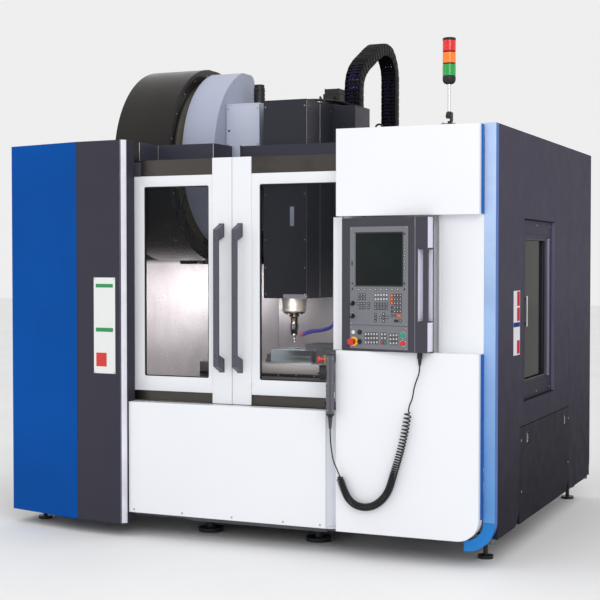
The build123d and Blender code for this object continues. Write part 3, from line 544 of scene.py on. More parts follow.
blue_left = left_blue_mat()
# corner band front: the pale blue and glints paint the sheen on the blue paint, fading to deeper blue lower down
band_front = painted_sheen_mat("corner_band_painted_sheen", (184, 206, 240), (0, 122, 200), (226, 238, 252), (0.222, 0.226), 0.75)
band_side = paint("corner_band_blue", (0, 92, 178), 0.36, var=0.05, grain=0.2, bevel=0.002, spec=0.25)
# left corner strip: its pale colour and glints paint the sheen on the chamfered corner
left_corner_sheen = painted_sheen_mat("left_corner_painted_sheen", (226, 226, 236), (226, 226, 236), (250, 250, 255), None, 0.6)
wet_wall = drops_mat("wet_stainless", (206, 200, 204), 0.25, 0.36, 1.5)
wet_wall_warm = drops_mat("wet_stainless_side", (206, 198, 196), 0.5, 0.42)
glass = glass_mat("window_glass", (0.02, 0.024, 0.026, 1), 0.9)
side_glass = glass_mat("side_window_glass", (0.016, 0.015, 0.014, 1), 0.06, 0.08)
side_glass.node_tree.nodes["Principled BSDF"].inputs["IOR"].default_value = 1.1
screen_off = screen_mat()
lens_red = lens_mat("lens_red", (214, 24, 22), 0.2)
lens_amber = lens_mat("lens_amber", (244, 128, 22), 0.16)
lens_green = lens_mat("lens_green", (20, 158, 66), 0.12)

cad = {
    "levelling_feet": black_part, "base_casting": casting, "linear_rails": steel_y, "column": casting,
    "servo_motors": black_part, "saddle": casting, "table": table_top, "vise": vise_metal, "workpiece": billet,
    "head_casing": head_paint, "head_carriage": head_paint, "spindle_nose": satin_steel, "spindle_tool": turned,
    "magazine_guard": black_gloss, "magazine_disc": black, "magazine_cover": pale, "changer_gearbox": pale_light,
    "tool_arm": ground, "right_front_cover": white, "blue_corner_band": band_front, "right_side_strips": strip_dark,
    "right_middle_panel": side_dark, "side_hatch": hatch_dark, "service_door": side_dark, "service_window": side_glass,
    "lower_front_panel": white, "left_blue_panel": blue_left, "left_grey_panel": dark, "left_side_panel": dark,
    "top_band": beam, "inner_guards": wet_wall, "chip_pan": wet_wall, "door_rails": band_steel_dark_reflection,
    "left_door_frame": band_steel_dark_reflection, "right_door_frame": band_steel_dark_reflection, "left_door_window": glass,
    "right_door_window": glass, "left_door_handle": handle_grey, "right_door_handle": handle_grey,
    "panel_housing": housing, "panel_faceplate": plate_grey, "panel_screen": screen_off, "panel_estop": red,
    "knob_spindle": black, "knob_feed": black, "start_button": green, "stop_button": red, "pendant_body": pendant_grey,
    "pendant_wheel": black, "pendant_estop": red, "tower_bracket": black, "tower_stack": black, "drag_chain": chain_black,
    "electrical_cabinet": dark, "cabinet_door": dark, "main_switch": red, "rear_covers": dark,
    "cord_lead_panel": rubber, "cord_lead_pendant": rubber, "curly_cord": rubber}
for node, mt in cad.items():
    N[node].data.materials.clear()
    N[node].data.materials.append(mt)

# ---------------------------------------------------------------------------
# camera, floor, light
# ---------------------------------------------------------------------------
camd = bpy.data.cameras.new("camera")
camera = bpy.data.objects.new("camera", camd)
SC.collection.objects.link(camera)
camera.location = (3.158 + XO, -6.339 + YO, 1.510)
camera.rotation_euler = (math.radians(88.4), 0, math.radians(23.7))
camd.sensor_width = 36
camd.lens = 80.64
camd.clip_end = 100
SC.camera = camera

floor_me = bpy.data.meshes.new("floor")
floor_me.from_pydata([(-40, -40, 0), (40, -40, 0), (40, 40, 0), (-40, 40, 0)], [], [(0, 1, 2, 3)])
floor = bpy.data.objects.new("floor", floor_me)
SC.collection.objects.link(floor)
FM = Mat("floor_pale")
FM.color(FM.mix(FM.ramp(FM.noise(0.8, 3), 0.3, 0.7), (0.86, 0.86, 0.865, 1), (0.9, 0.9, 0.905, 1)))
FM.b.inputs["Roughness"].default_value = 0.7
FM.b.inputs["Specular IOR Level"].default_value = 0.2
floor_me.materials.append(FM.m)

world = bpy.data.worlds.new("studio")
SC.world = world
world.use_nodes = True
bg = world.node_tree.nodes["Background"]
bg.inputs["Color"].default_value = (1, 1, 1, 1)
bg.inputs["Strength"].default_value = 0.86
SC.view_settings.view_transform = "Standard"


def area(name, loc, target, size, power, tint=(1, 1, 1), size_y=None):
    d = bpy.data.lights.new(name, "AREA")
    d.energy = power
    d.color = tint
    d.shape = "RECTANGLE"
    d.size = size
    d.size_y = size_y or size
    o = bpy.data.objects.new(name, d)
    SC.collection.objects.link(o)
    o.location = loc
    o.rotation_euler = (Vector(target) - Vector(loc)).to_track_quat("-Z", "Y").to_euler()
    return o


area("key", (4.5, -7.5, 4.4), (0, -0.6, 1.1), 3.4, 150)
area("fill", (-5.5, -6.0, 2.4), (-0.4, -0.8, 1.1), 3.0, 26, (0.95, 0.97, 1))
area("top", (0, -1.6, 6.2), (0, -0.6, 1.5), 5.0, 45)
for lamp, angle in ((area("work_lamp_left", (-1.02, -0.66, 1.36), (-1.06, 0.15, 1.06), 0.6, 5.6, (1, 0.98, 0.96), 0.1), 125),
                    (area("work_lamp_right", (0.24, -0.50, 1.28), (0.24, 0.15, 1.12), 0.4, 0.5, (1, 0.97, 0.94), 0.1), 80),
                    (area("table_lamp", (0.14, -0.84, 1.26), (0.16, -0.50, 0.93), 0.4, 1.1, (1, 0.98, 0.96), 0.1), 80)):
    lamp.visible_camera = False
    lamp.data.spread = math.radians(angle)

# ---------------------------------------------------------------------------
# doors: flecked stainless slab (the CAD frame), dark brownish from a painted reflection, with a white window frame and
# stile
# ---------------------------------------------------------------------------
for side, body, x0, x1, s0, s1, g0, g1, fx0, fx1 in (
        ("left", "left_door", -700, -75, -191, -75, -617, -217, -699, -192),
        ("right", "right_door", -71, 680, -71, 39, 88, 620, 39.5, 679)):
    p = Piece(side + "_door_white_frame", body, door_white)
    p.ring(rrect(fx0, fx1, 803, 1984, 6), rrect(g0, g1, 884, 1926, 10), "y", 119.5, 126.4, 1.6)
    p.done()
    p = Piece(side + "_door_stile", body, door_white)
    lip = (s0 - 1, s1 + 0.6) if side == "left" else (s0 - 0.6, s1 + 1)
    p.box(lip[0], lip[1], 113.5, 126.2, 747.5, 2073, 2.5, 3)
    p.done()
    p = Piece(side + "_door_gasket", body, rubber)
    p.ring(rrect(g0 - 0.5, g1 + 0.5, 883.5, 1926.5, 10), rrect(g0 + 5, g1 - 5, 889, 1921, 8), "y", 123, 137, 1)
    p.done()
    # handle bosses, screws, inner pulls
    hx = -135 if side == "left" else -25
    p = Piece(side + "_handle_feet", body, [handle_grey, screw])
    for z in (921, 1716):
        up = 1 if z < 1000 else -1
        p.box(hx - 17, hx + 17, 112.4, 115.6, z - (4 if up > 0 else 70), z + (70 if up > 0 else 4), 1.2)
    p.done()
    p = Piece(side + "_handle_insets", body, black)
    for z in (1010, 1320, 1630):
        p.cyl((hx, 41.6, z), 3.4, -0.3, 1.2, "y", 0.4, 20)
    p.done()

# a dark block at the left end of the doors' top band: it paints the dark reflection of the cabinet side in the band
p = Piece("left_door_end_dark_reflection", "left_door", beam)
p.box(-701, -636, 117, 127, 1986, 2062, 2)
p.done()
p = Piece("door_middle_seals", "left_door", rubber)
p.box(-76.0, -74.9, 118, 148, 750, 2070, 0.4)
p.done()

# ---------------------------------------------------------------------------
# left front: step line between blue and dark panel, corner strip with a painted sheen, plate with plain fields
# ---------------------------------------------------------------------------
def flat_on(p, a, b, out, z0, z1, r=0.3, m=0):
    """thin plate lying on the upright plane through plan points a and b"""
    d = Vector((b[0] - a[0], b[1] - a[1], 0)).normalized()
    n = Vector((d.y, -d.x, 0))
    A, B = Vector((a[0], a[1], 0)) - n * 0.2, Vector((b[0], b[1], 0)) - n * 0.2
    pts = [A, B, B + n * (out + 0.2), A + n * (out + 0.2)]
    p.prism([(q.x, q.y) for q in pts], "z", z0, z1, r, 1, m)


def on_dark(x):
    return (x, 20 - 20 * (x + 991.5) / 291.5)


# corner strip on the chamfer: pale and glinting, a painted sheen
p = Piece("left_corner_strip", "enclosure", left_corner_sheen)
p.prism([(-700.6, -0.4), (-674.4, 24.6), (-674.4, 27.5), (-701.5, 1.0)], "z", 75.5, 2180.4, 0.2, 1)
p.done()
p = Piece("left_step_line", "enclosure", black_part)
p.prism([(-993.2, 19.6), (-990.8, 18.9), (-990.8, 22), (-993.2, 22)], "z", 75.5, 2180.2, 0.3, 1)
p.done()
p = Piece("plain_plate", "enclosure", [label_white, label_green, label_red])
flat_on(p, on_dark(-876), on_dark(-733), 1.6, 898, 1427, 0.6)
flat_on(p, on_dark(-862), on_dark(-747), 1.9, 1372, 1392, 0.1, 1)
flat_on(p, on_dark(-862), on_dark(-747), 1.9, 1128, 1150, 0.1, 1)
flat_on(p, on_dark(-860), on_dark(-790), 1.9, 936, 1012, 0.1, 2)
p.done()
p = Piece("plate_rivets", "enclosure", screw)
for x in (-869, -740):
    for z in (905, 1420):
        q = on_dark(x)
        p.cyl((q[0], q[1] - 1.5, z), 3.4, -1.4, 1.0, "y", 0.7, 16)
p.done()

# lower front: hidden screws along the foot
p = Piece("foot_screws", "enclosure", screw)
for x in (-640, -340, -40, 260, 470):
    p.cyl((x, 39.2, 152), 5, -1.2, 1.4, "y", 0.9, 20)
p.done()

# post beside the roof beams, and seams on the beams
p = Piece("beam_post", "enclosure", pale)
p.box(-323, -273, 617, 621.6, 1962, 2184, 1.2)
p.done()
p = Piece("beam_seams", "enclosure", alu)
p.box(-690.5, -687.5, 402.2, 404.9, 1967, 2178, 0.4)
p.box(-335.4, -332.6, 402.2, 404.9, 1967, 2178, 0.4)
p.box(-676.2, -673.4, 168.0, 170.2, 1967, 2178, 0.4)
p.done()

# ---------------------------------------------------------------------------
# right corner: blue groove, seam
# ---------------------------------------------------------------------------
p = Piece("corner_groove", "enclosure", band_side)
p.box(1328.4, 1333.4, 30, 64, 1749, 2187, 0.5)
p.box(1328.4, 1333.4, 30, 64, 245, 1058, 0.5)
p.done()
p = Piece("band_seam", "enclosure", black_part)
p.box(1334.4, 1392.5, 64.6, 66.2, 223.2, 225.2, 0.2)
p.done()

# ---------------------------------------------------------------------------
# operator panel (shapes given on the closed panel, then swung to its angle)
# ---------------------------------------------------------------------------
PF = 24.0


def face(a, b):
    """a place on the faceplate from its column and row on a drawing of 483 by 990 units"""
    s = (a - 165) / 483
    top, low = 143 - 3 * s, 1133 + 22 * s
    return 648 + s * 345 + 7 * (1 - s ** 3), 1690 - (b - top) / (low - top) * 615


def key(p, a, b, w, h, m, out=1.8, base=0, r=0.7):
    x, z = face(a, b)
    if base:
        w, h, base = w - 2.2, h - 2.2, base + 1.5
        p.box(x - w / 2 - base, x + w / 2 + base, PF - 3.6, PF - 2.8, z - h / 2 - base, z + h / 2 + base, 0.25, 1, 2)
    p.box(x - w / 2, x + w / 2, PF - 3 - out, PF - 2.8, z - h / 2, z + h / 2, r, 2, m)


p = Piece("panel_keys", "operator_panel", [key_light, key_mid, key_dark, key_orange, red, green, white_btn], PANEL)
for b in (280, 331, 381, 431, 482, 533):
    key(p, 620, b, 8.5, 8.5, 0, base=1.0)
for a, b in ((618, 203), (617, 608), (617, 655), (185, 605), (185, 648)):
    key(p, a, b, 8, 8.5, 2)
key(p, 182, 440, 7, 24, 2, 1.0)
for a in (240, 287, 333, 378, 423, 470, 515, 562):
    key(p, a, 655, 10, 9, 0, base=1.0)
for a in (240, 263, 286):
    for b in (698, 728, 770, 803):
        key(p, a, b, 10, 11, 1, base=1.6)
for b in (770, 803):
    key(p, 320, b, 10, 11, 1, base=1.6)
for k in range(5):
    for b in (700, 735):
        key(p, 378 + 23 * k, b, 12.5, 13, 0, base=0.8)
    for b in (776, 808):
        key(p, 378 + 23 * k, b, 11, 12, 1, base=1.4)
for b in (705, 737, 768):
    key(p, 513, b, 13.5, 14, 3, 2.2, base=0.8)
for a in (538, 561, 584):
    for b in (705, 737, 770, 803, 835):
        key(p, a, b, 11, 12, 1, base=1.8)
for b in (803, 835):
    key(p, 513, b, 10, 12, 2)
key(p, 513, 870, 10, 11, 1, base=1.4)
key(p, 539, 870, 9, 11, 4, base=1.0)
key(p, 574, 870, 22, 14, 3, 2.2, base=0.8)
for a, b in ((445, 857), (420, 884), (447, 884), (472, 884), (445, 913)):
    key(p, a, b, 11, 11.5, 1, base=1.6)
for b in (860, 886, 911):
    key(p, 377, b, 10, 11, 1, base=1.4)
key(p, 549, 913, 25, 13, 2)
key(p, 584, 913, 10, 12, 1, base=1.4)
for a in (297, 320, 344, 367, 390):
    for b in (1020, 1053, 1088):
        key(p, a, b, 11, 12.5, 0, base=1.6)
for a in (431, 457):
    for b in (1022, 1053):
        key(p, a, b, 11, 12.5, 0, base=1.6)
key(p, 434, 1090, 13, 12.5, 4, base=1.2)
key(p, 458, 1090, 12, 12.5, 5, base=1.2)
for a in (503, 528, 552):
    for b in (1030, 1062, 1096):
        key(p, a, b, 11, 12.5, 0, base=1.6)
# dark carriers under the three lower key blocks
for a0, a1, b0, b1 in ((285, 402, 1008, 1102), (420, 468, 1010, 1104), (492, 563, 1018, 1110)):
    x0, z1 = face(a0, b0)
    x1, z0 = face(a1, b1)
    for k in range(4):
        z = z1 + (z0 - z1) * k / 3
        p.box(x0, x1, PF - 3.35, PF - 2.9, z - 0.7, z + 0.7, 0.1, 1, 2)
p.done()

# arrow marks and numbers on keys: generic marks only
p = Piece("key_marks", "operator_panel", white_btn, PANEL)
for a, b, t in ((445, 857, 90), (420, 884, 180), (472, 884, 0), (445, 913, -90)):
    x, z = face(a, b)
    pts = []
    for u in (0, 140, 220):
        t2 = math.radians(t + u)
        pts.append((x + 3.0 * math.cos(t2), z + 3.0 * math.sin(t2)))
    p.prism(pts, "y", PF - 5.05, PF - 4.75, 0, 1)
for a, b in ((240, 698), (263, 698), (286, 698), (240, 728), (263, 728), (286, 728), (240, 770), (263, 770), (286, 770),
             (240, 803), (263, 803), (286, 803), (320, 770), (320, 803)):
    x, z = face(a, b)
    p.box(x - 2.6, x - 0.6, PF - 5.0, PF - 4.75, z + 0.5, z + 3.0, 0.1, 1)
for a in (538, 561, 584):
    for b in (705, 737, 770, 803, 835):
        x, z = face(a, b)
        p.ring(rrect(x - 1.7, x + 1.7, z - 2.4, z + 2.4, 1.4, 3), rrect(x - 1.0, x + 1.0, z - 1.7, z + 1.7, 0.9, 3),
               "y", PF - 5.0, PF - 4.75)
p.done()

p = Piece("screen_bezel", "operator_panel", [key_dark, alu], PANEL)
p.ring(rrect(681.5, 965.0, 1389.5, 1662.5, 4), rrect(688, 959, 1396, 1656, 3), "y", PF - 4.4, PF - 2.9, 0.5)
p.box(684.6, 686.4, PF - 4.7, PF - 4.2, 1393, 1659, 0.15, 1, 1)
p.done()
p = Piece("faceplate_screws", "operator_panel", screw, PANEL)
for a, b in ((179, 156), (632, 147), (178, 931), (632, 946), (178, 960), (632, 977), (176, 1117), (632, 1144)):
    x, z = face(a, b)
    p.cyl((x, PF - 3, z), 3.2, -1.3, 0.2, "y", 0.6, 20)
p.done()

# rotary switches: dials with ticks, pointers that ride on the knobs
p = Piece("dial_ticks", "operator_panel", white_btn, PANEL)
for z in (1304, 1239):
    for k in range(11):
        t = math.radians(225 - 27 * k)
        M = Matrix.Translation((673 + 15.9 * math.cos(t), PF - 3.15, z + 15.9 * math.sin(t))) @ Matrix.Rotation(-t, 4, "Y")
        p.box(-2.0, 2.0, -0.12, 0.2, -0.45, 0.45, 0, 1, 0, M)
p.done()
for name, body, z in (("knob_spindle_pointer", "spindle_override", 1304), ("knob_feed_pointer", "feed_override", 1239)):
    p = Piece(name, body, [white_btn, black], PANEL)
    p.box(672.1, 673.9, PF - 25.9, PF - 21.9, z + 0.2, z + 7.7, 0.1, 1)
    p.box(672.2, 673.8, PF - 19.9, PF - 19.2, z + 8.3, z + 11.0, 0.1, 1)
    for k in range(12):
        t = 2 * math.pi * k / 12
        p.cyl((673 + 11.1 * math.cos(t), PF - 11.6, z + 11.1 * math.sin(t)), 1.4, -7.4, 7.4, "y", 0.5, 10, 1)
    p.done()

# pushbuttons and the emergency stop's yellow plate
p = Piece("panel_buttons", "operator_panel", [white_btn, black, yellow, chrome, label_red], PANEL)
x, z = face(197, 1003)
p.cyl((x, PF - 3, z), 9.5, -7.5, 0.2, "y", 1.2, 32, 0)
for b in (1003, 1080):
    x, z = face(247, b)
    p.cyl((x, PF - 3, z), 12.5, -5.5, 0.2, "y", 1.2, 32, 1)
    p.cyl((x, PF - 3, z), 8.0, -7.5, -5, "y", 1.0, 24, 1)
p.lathe([(13.0, -0.2), (23.6, -0.2), (24, 0.6), (24, 3.0), (23, 3.8), (17, 5.0), (14, 5.2), (13.0, 4.8), (13.0, -0.2)],
        (679, PF - 3, 1110), "y", 48, 2, Matrix.Translation((0, 2 * (PF - 3), 0)) @ Matrix.Scale(-1, 4, (0, 1, 0)))
for z in (1149, 1109):
    p.lathe([(13.7, 0), (17.2, 0), (17.2, 1.6), (16.2, 2.6), (14.4, 2.6), (13.7, 1.8), (13.7, 0)], (966, PF - 3, z), "y", 40, 3,
            Matrix.Translation((0, 2 * (PF - 3), 0)) @ Matrix.Scale(-1, 4, (0, 1, 0)))
p.done()
# grip: pale inlays along the side and inside the slot, bright seam
p = Piece("grip_inlays", "operator_panel", cream_grip, PANEL)
p.box(1097.7, 1098.9, PF + 6, PF + 57, 1582, 1733, 0.4)
p.box(1097.7, 1098.9, PF + 6, PF + 57, 1070, 1214, 0.4)
p.box(1046.4, 1048.0, PF + 0.6, PF + 66, 1219.5, 1576.5, 0.4)
p.box(1075.0, 1097.0, PF + 58.2, PF + 59.8, 1219.5, 1576.5, 0.4)
p.box(1048.0, 1074.0, PF + 62.5, PF + 66.5, 1219.5, 1576.5, 0.4)
p.done()
p = Piece("panel_seam", "operator_panel", alu, PANEL)
p.box(1029.3, 1030.7, PF - 0.7, PF + 1.5, 1066, 1737, 0.3)
p.done()
p = Piece("panel_back_cover", "operator_panel", [housing, screw], PANEL)
p.box(640, 1010, PF + 67.6, PF + 69.4, 1100, 1700, 0.8)
for x in (652, 998):
    for z in (1112, 1400, 1688):
        p.cyl((x, PF + 69.2, z), 3.4, -0.2, 1.2, "y", 0.5, 16, 1)
p.done()

# cable gland: hexagon, dome nut, ribbed strain relief
p = Piece("panel_gland", "operator_panel", black, PANEL)
p.prism([(1038 + 15.2 * math.cos(math.radians(60 * k)), 60 + 15.2 * math.sin(math.radians(60 * k))) for k in range(6)],
        "z", 1046, 1060, 1.2)
p.lathe([(0, 1046), (13.6, 1046), (13.6, 1036), (12.2, 1033.5), (0, 1033.5)], (1038, 60, 0), "z", 32)
for k in range(7):
    z = 1031.5 - 4.6 * k
    r = 10.6 - 0.62 * k
    p.lathe([(4, z), (r, z), (r, z - 2.6), (4, z - 2.6)], (1038, 60, 0), "z", 24)
p.done()

# hinge leaves on the recess side
p = Piece("panel_hinge_leaves", "enclosure", [handle_grey, screw])
for z in (1150, 1650):
    p.box(579.5, 598.5, 83.0, 96.5, z - 34, z + 34, 1.0)
    for dz in (-22, 22):
        p.cyl((589, 82.8, z + dz), 3.2, -1.0, 0.6, "y", 0.5, 16, 1)
p.done()

# ---------------------------------------------------------------------------
# hand pendant
# ---------------------------------------------------------------------------
HAND = BASE @ Matrix.Translation((552, -20, 0)) @ Matrix.Rotation(math.radians(22.3), 4, "Z") @ Matrix.Translation((-542, 2, 0))
p = Piece("pendant_details", "enclosure", [black, yellow, screw, key_mid, housing, white_btn], HAND)
p.lathe([(9, 516.6), (9, 513.6), (24, 513.6), (25, 514.6), (25, 516.6), (9, 516.6)], (0, -2, 1017), "x", 40, 1)
p.box(521.5, 562.6, -40.6, 35.6, 1040, 1047.5, 2.0, 2, 0)
p.box(521.4, 562.6, -40.6, 35.6, 733.6, 742, 2.0, 2, 0)
p.box(540.5, 542.2, -41.2, -38.6, 744, 1038, 0.4, 1, 0)
for z in (760, 900, 1024):
    for x in (529.5, 554.5):
        p.cyl((x, -40.2, z), 2.6, -1.0, 0.4, "y", 0.4, 16, 2)
for i in range(3):
    for k in range(4):
        z = 880 - 24 * k
        y = -22 + 19 * i
        p.box(519.6, 522.4, y - 6.5, y + 6.5, z - 7, z + 7, 0.8, 2, 3)
p.cyl((522, -20, 792), 10, -10, 0.3, "x", 1.2, 24, 0)
p.cyl((522, 14, 792), 10, -10, 0.3, "x", 1.2, 24, 0)
p.lathe([(30, 0), (33, 0), (33, 1.6), (30, 1.6), (30, 0)], (519.8, -2, 949), "x", 48, 0)
for k in range(20):
    t = 2 * math.pi * k / 20
    p.box(519.4, 520.2, -0.5, 0.5, 33.6, 35.6, 0, 1, 5,
          Matrix.Translation((0, -2, 949)) @ Matrix.Rotation(t, 4, "X"))
for k in range(6):
    z = 716 - 9 * k
    r = 10.8 - 0.85 * k
    p.lathe([(4, z), (r + 0.9, z), (r + 0.9, z - 4.6), (4, z - 4.6)], (542, -2, 0), "z", 24, 0)
p.prism([(542 + 14.5 * math.cos(math.radians(60 * k)), -2 + 14.5 * math.sin(math.radians(60 * k))) for k in range(6)],
        "z", 720, 733, 1.2, 2, 0)
p.done()

p = Piece("pendant_wheel_rim", "handwheel", [black, chrome], HAND)
for k in range(44):
    t = 2 * math.pi * k / 44
    p.box(489, 518, -0.9, 0.9, 37.2, 38.8, 0.4, 1, 0, Matrix.Translation((0, -2, 949)) @ Matrix.Rotation(t, 4, "X"))
p.cyl((483.6, -2, 949), 9, 0, 3, "x", 0.8, 24, 1)
p.done()

p = Piece("pendant_hook", "enclosure", [pale, screw])
p.box(568.4, 575.2, 1.5, 34.5, 798, 1002, 1.2)
p.box(566.5, 570, 24, 34, 1001, 1008, 0.8)
p.done()

# ---------------------------------------------------------------------------
# curly cord: one wire from the panel's gland to the pendant
# ---------------------------------------------------------------------------
ca, sa = math.cos(math.radians(10.5)), math.sin(math.radians(10.5))
gx, gy = 608 + 430 * ca, 60 - 430 * sa
LEAD_A = [(gx, gy, 997.5), (gx, gy, 965), (1014, -20, 925), (1001, -22, 880), (996, -24, 835),
          (978.7, -26, 798.6), (974, -26, 769)]
CURL = [(974, -26, 769), (963, -26, 700), (940, -26, 590), (898, -26, 455), (868, -26, 352), (800, -26, 284),
        (720, -26, 270), (655, -26, 303), (620, -26, 380), (604, -26, 425)]
LEAD_B = [(604, -26, 425), (592, -26, 458.8), (572, -25, 495), (562, -23, 545), (552, -20, 612), (552, -20, 660.5)]


def nurbs_line(name, points, resolution):
    """the line of the NURBS spline through these controls, in mm"""
    cu = bpy.data.curves.new(name, "CURVE")
    cu.dimensions = "3D"
    sp = cu.splines.new("NURBS")
    sp.points.add(len(points) - 1)
    for q, c in zip(sp.points, points):
        q.co = (c[0] * 0.001, c[1] * 0.001, c[2] * 0.001, 1)
    sp.order_u = 3
    sp.use_endpoint_u = True
    sp.resolution_u = resolution
    o = bpy.data.objects.new(name, cu)
    me = bpy.data.meshes.new_from_object(o)
    line = [v.co * 1000 for v in me.vertices]
    bpy.data.objects.remove(o)
    bpy.data.meshes.remove(me)
    bpy.data.curves.remove(cu)
    return line


class Line:
    def __init__(self, pts):
        self.pts, self.dist = pts, [0.0]
        for a, b in zip(pts, pts[1:]):
            self.dist.append(self.dist[-1] + (b - a).length)
        self.long = self.dist[-1]

    def at(self, s):
        i = min(max(bisect.bisect_right(self.dist, s) - 1, 0), len(self.pts) - 2)
        f = (s - self.dist[i]) / max(self.dist[i + 1] - self.dist[i], 1e-9)
        return self.pts[i].lerp(self.pts[i + 1], f)


# the coil's middle line, and the helix round it, whose points join the leads in one spline
middle = Line(nurbs_line("coil_middle", CURL, 40))
R_COIL, WIRE, PER_TURN = 16.2, 3.5, 12
helix, turn, s = [], 0.0, 0.0
while s < middle.long:
    c = middle.at(s)
    tangent = (middle.at(s + 2) - middle.at(s - 2)).normalized()
    side = Vector((0, 1, 0)) - tangent * tangent.y
    side.normalize()
    other = tangent.cross(side)
    grow = min(1.0, 0.16 + s / 16, 0.16 + (middle.long - s) / 16)
    helix.append(c + (side * math.cos(turn) + other * math.sin(turn)) * R_COIL * grow * 1.035)
    u = s / middle.long
    # stretched by its own weight near the panel, closed in the hanging loop
    pitch = 8.0 + 13.0 * (1 - min(u / 0.45, 1)) ** 0.75 + 3.0 * max(0, (u - 0.86) / 0.14)
    s += pitch / PER_TURN
    turn += 2 * math.pi / PER_TURN
controls = [Vector(c) for c in LEAD_A[:-1]] + helix + [Vector(c) for c in LEAD_B[1:]]
wire = nurbs_line("cord_line", controls, 3)
wire_long = Line(wire).long / 1000
p = Piece("pendant_cord", None, rubber, angle=80)
p.tube(wire, WIRE, 8)
cord_piece = p.done(replaces=("cord_lead_panel", "cord_lead_pendant", "curly_cord"))
print("cord wire length", round(wire_long, 3), "turns", round(turn / 2 / math.pi, 1))
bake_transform(cord_piece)
# ---------------------------------------------------------------------------
# signal tower: pole, knuckle, three ribbed lamps, cap
# ---------------------------------------------------------------------------
TXC, TYC = 1158, 46
p = Piece("signal_tower", "tower", [black, lens_green, lens_amber, lens_red, chrome, black_gloss])
p.lathe([(0, 2228), (6.6, 2228), (7.4, 2229), (7.4, 2392), (0, 2392)], (TXC, TYC, 0), "z", 32, 4)
p.lathe([(0, 2220), (13, 2220), (15, 2223), (15, 2246), (12, 2252), (8.6, 2254), (0, 2254)], (TXC, TYC, 0), "z", 32, 0)
p.lathe([(0, 2388), (14, 2388), (22, 2391), (29, 2398), (32.4, 2408), (32.4, 2423), (31.2, 2425.5), (0, 2425.5)], (TXC, TYC, 0), "z", 48, 0)
for k, (z0, z1) in enumerate(((2428, 2485), (2491, 2543), (2549, 2603))):
    prof = [(0, z0), (30.6, z0), (32.2, z0 + 1.4)]
    n = 9
    for i in range(n):
        za = z0 + 2 + (z1 - z0 - 4) * i / n
        zb = z0 + 2 + (z1 - z0 - 4) * (i + 1) / n
        prof += [(32.4, za + 0.3), (32.4, zb - 1.3), (31.5, zb - 0.9), (31.5, zb - 0.2)]
    prof += [(32.2, z1 - 1.4), (30.6, z1), (0, z1)]
    p.lathe(prof, (TXC, TYC, 0), "z", 56, k + 1)
for z in (2425.5, 2485, 2543):
    p.lathe([(0, z - 0.5), (30.8, z - 0.5), (30.8, z + 6.5), (0, z + 6.5)], (TXC, TYC, 0), "z", 48, 5)
p.lathe([(0, 2602), (32.8, 2602), (32.8, 2611), (31.0, 2614.2), (26, 2616), (0, 2616)], (TXC, TYC, 0), "z", 56, 5)
p.done(replaces=("tower_stack",))
p = Piece("tower_mount_screws", "enclosure", [screw, black])
for dx in (-24, 24):
    for dy in (-21, 21):
        p.cyl((TXC + dx, TYC + dy, 2194), 3.4, 0.5, 6.5, "z", 0.8, 16)
p.done()

# ---------------------------------------------------------------------------
# drag chain: links along an arch, blue hose and dark cables inside
# ---------------------------------------------------------------------------
CHAIN_MID = [(1210, 2440), (1210, 2560), (1222, 2612), (1262, 2664), (1330, 2712), (1410, 2752), (1500, 2800), (1580, 2836),
             (1660, 2848), (1740, 2840), (1788, 2808), (1826, 2760), (1844, 2700), (1844, 2600), (1844, 2334)]


def even(points, n):
    L = Line([Vector((0, y, z)) for y, z in points])
    return [L.at(L.long * i / n) for i in range(n + 1)], L


links, chain_line = even(CHAIN_MID, 58)
p = Piece("drag_chain_links", None, [chain_black, chain_black, hose_blue, rubber, screw])
for i in range(58):
    a, b = links[i], links[i + 1]
    c = (a + b) / 2
    d = (b - a)
    t = math.atan2(d.z, d.y)
    M = Matrix.Translation(c) @ Matrix.Rotation(t, 4, "X")
    half = d.length / 2
    w = 37.5 + 0.8 * (i % 2)
    for x, s in ((150.6, 1), (248.6, -1)):
        off = 1.6 if i % 2 else 0
        x0, x1 = (x + off * s, x + off * s + 5 * s)
        p.box(min(x0, x1), max(x0, x1), -half - 7, half + 3, -w + 2, w - 2, 1.6, 2, i % 2, M)
        p.cyl((x0 + 2.4 * s, -half + 2, 0), 8.4, -3.0 if s < 0 else -2.6, 2.8, "x", 0.8, 16, 1, M)
    p.box(153, 246, -half + 3, half - 5, w - 6, w, 1.4, 2, i % 2, M)
    p.box(153, 246, -half + 3, half - 5, -w, -w + 6, 1.4, 2, i % 2, M)
for k, (x, r, m) in enumerate(((165, 9.5, 2), (186, 9.5, 2), (206, 7, 3), (222, 8, 2), (237, 6, 3))):
    pts = []
    for i, q in enumerate(links):
        wob = 5 * math.sin(i * 0.45 + k)
        pts.append((x, q.y + 0.4 * wob, q.z + 6 * math.cos(i * 0.3 + 2 * k) * (0.4 if i in (0, 58) else 1)))
    p.tube(pts[1:-1], r, 12, m)
chain = p.done(replaces=("drag_chain",))
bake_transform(chain)
p = Piece("chain_brackets", "enclosure", [black_part, screw])
p.box(142, 258, 1797, 1893, 2326, 2334, 1.5)
for x in (160, 240):
    for y in (1812, 1880):
        p.cyl((x, y, 2334), 5, -0.4, 4, "z", 0.8, 16, 1)
p.done()
# ---------------------------------------------------------------------------
# head: bright edge lines that paint edge highlights, bare plate, screws, motor details, cable loop
# ---------------------------------------------------------------------------
p = Piece("head_trim_and_edge_highlights", "head", [alu, pale, screw, black_part, head_paint])
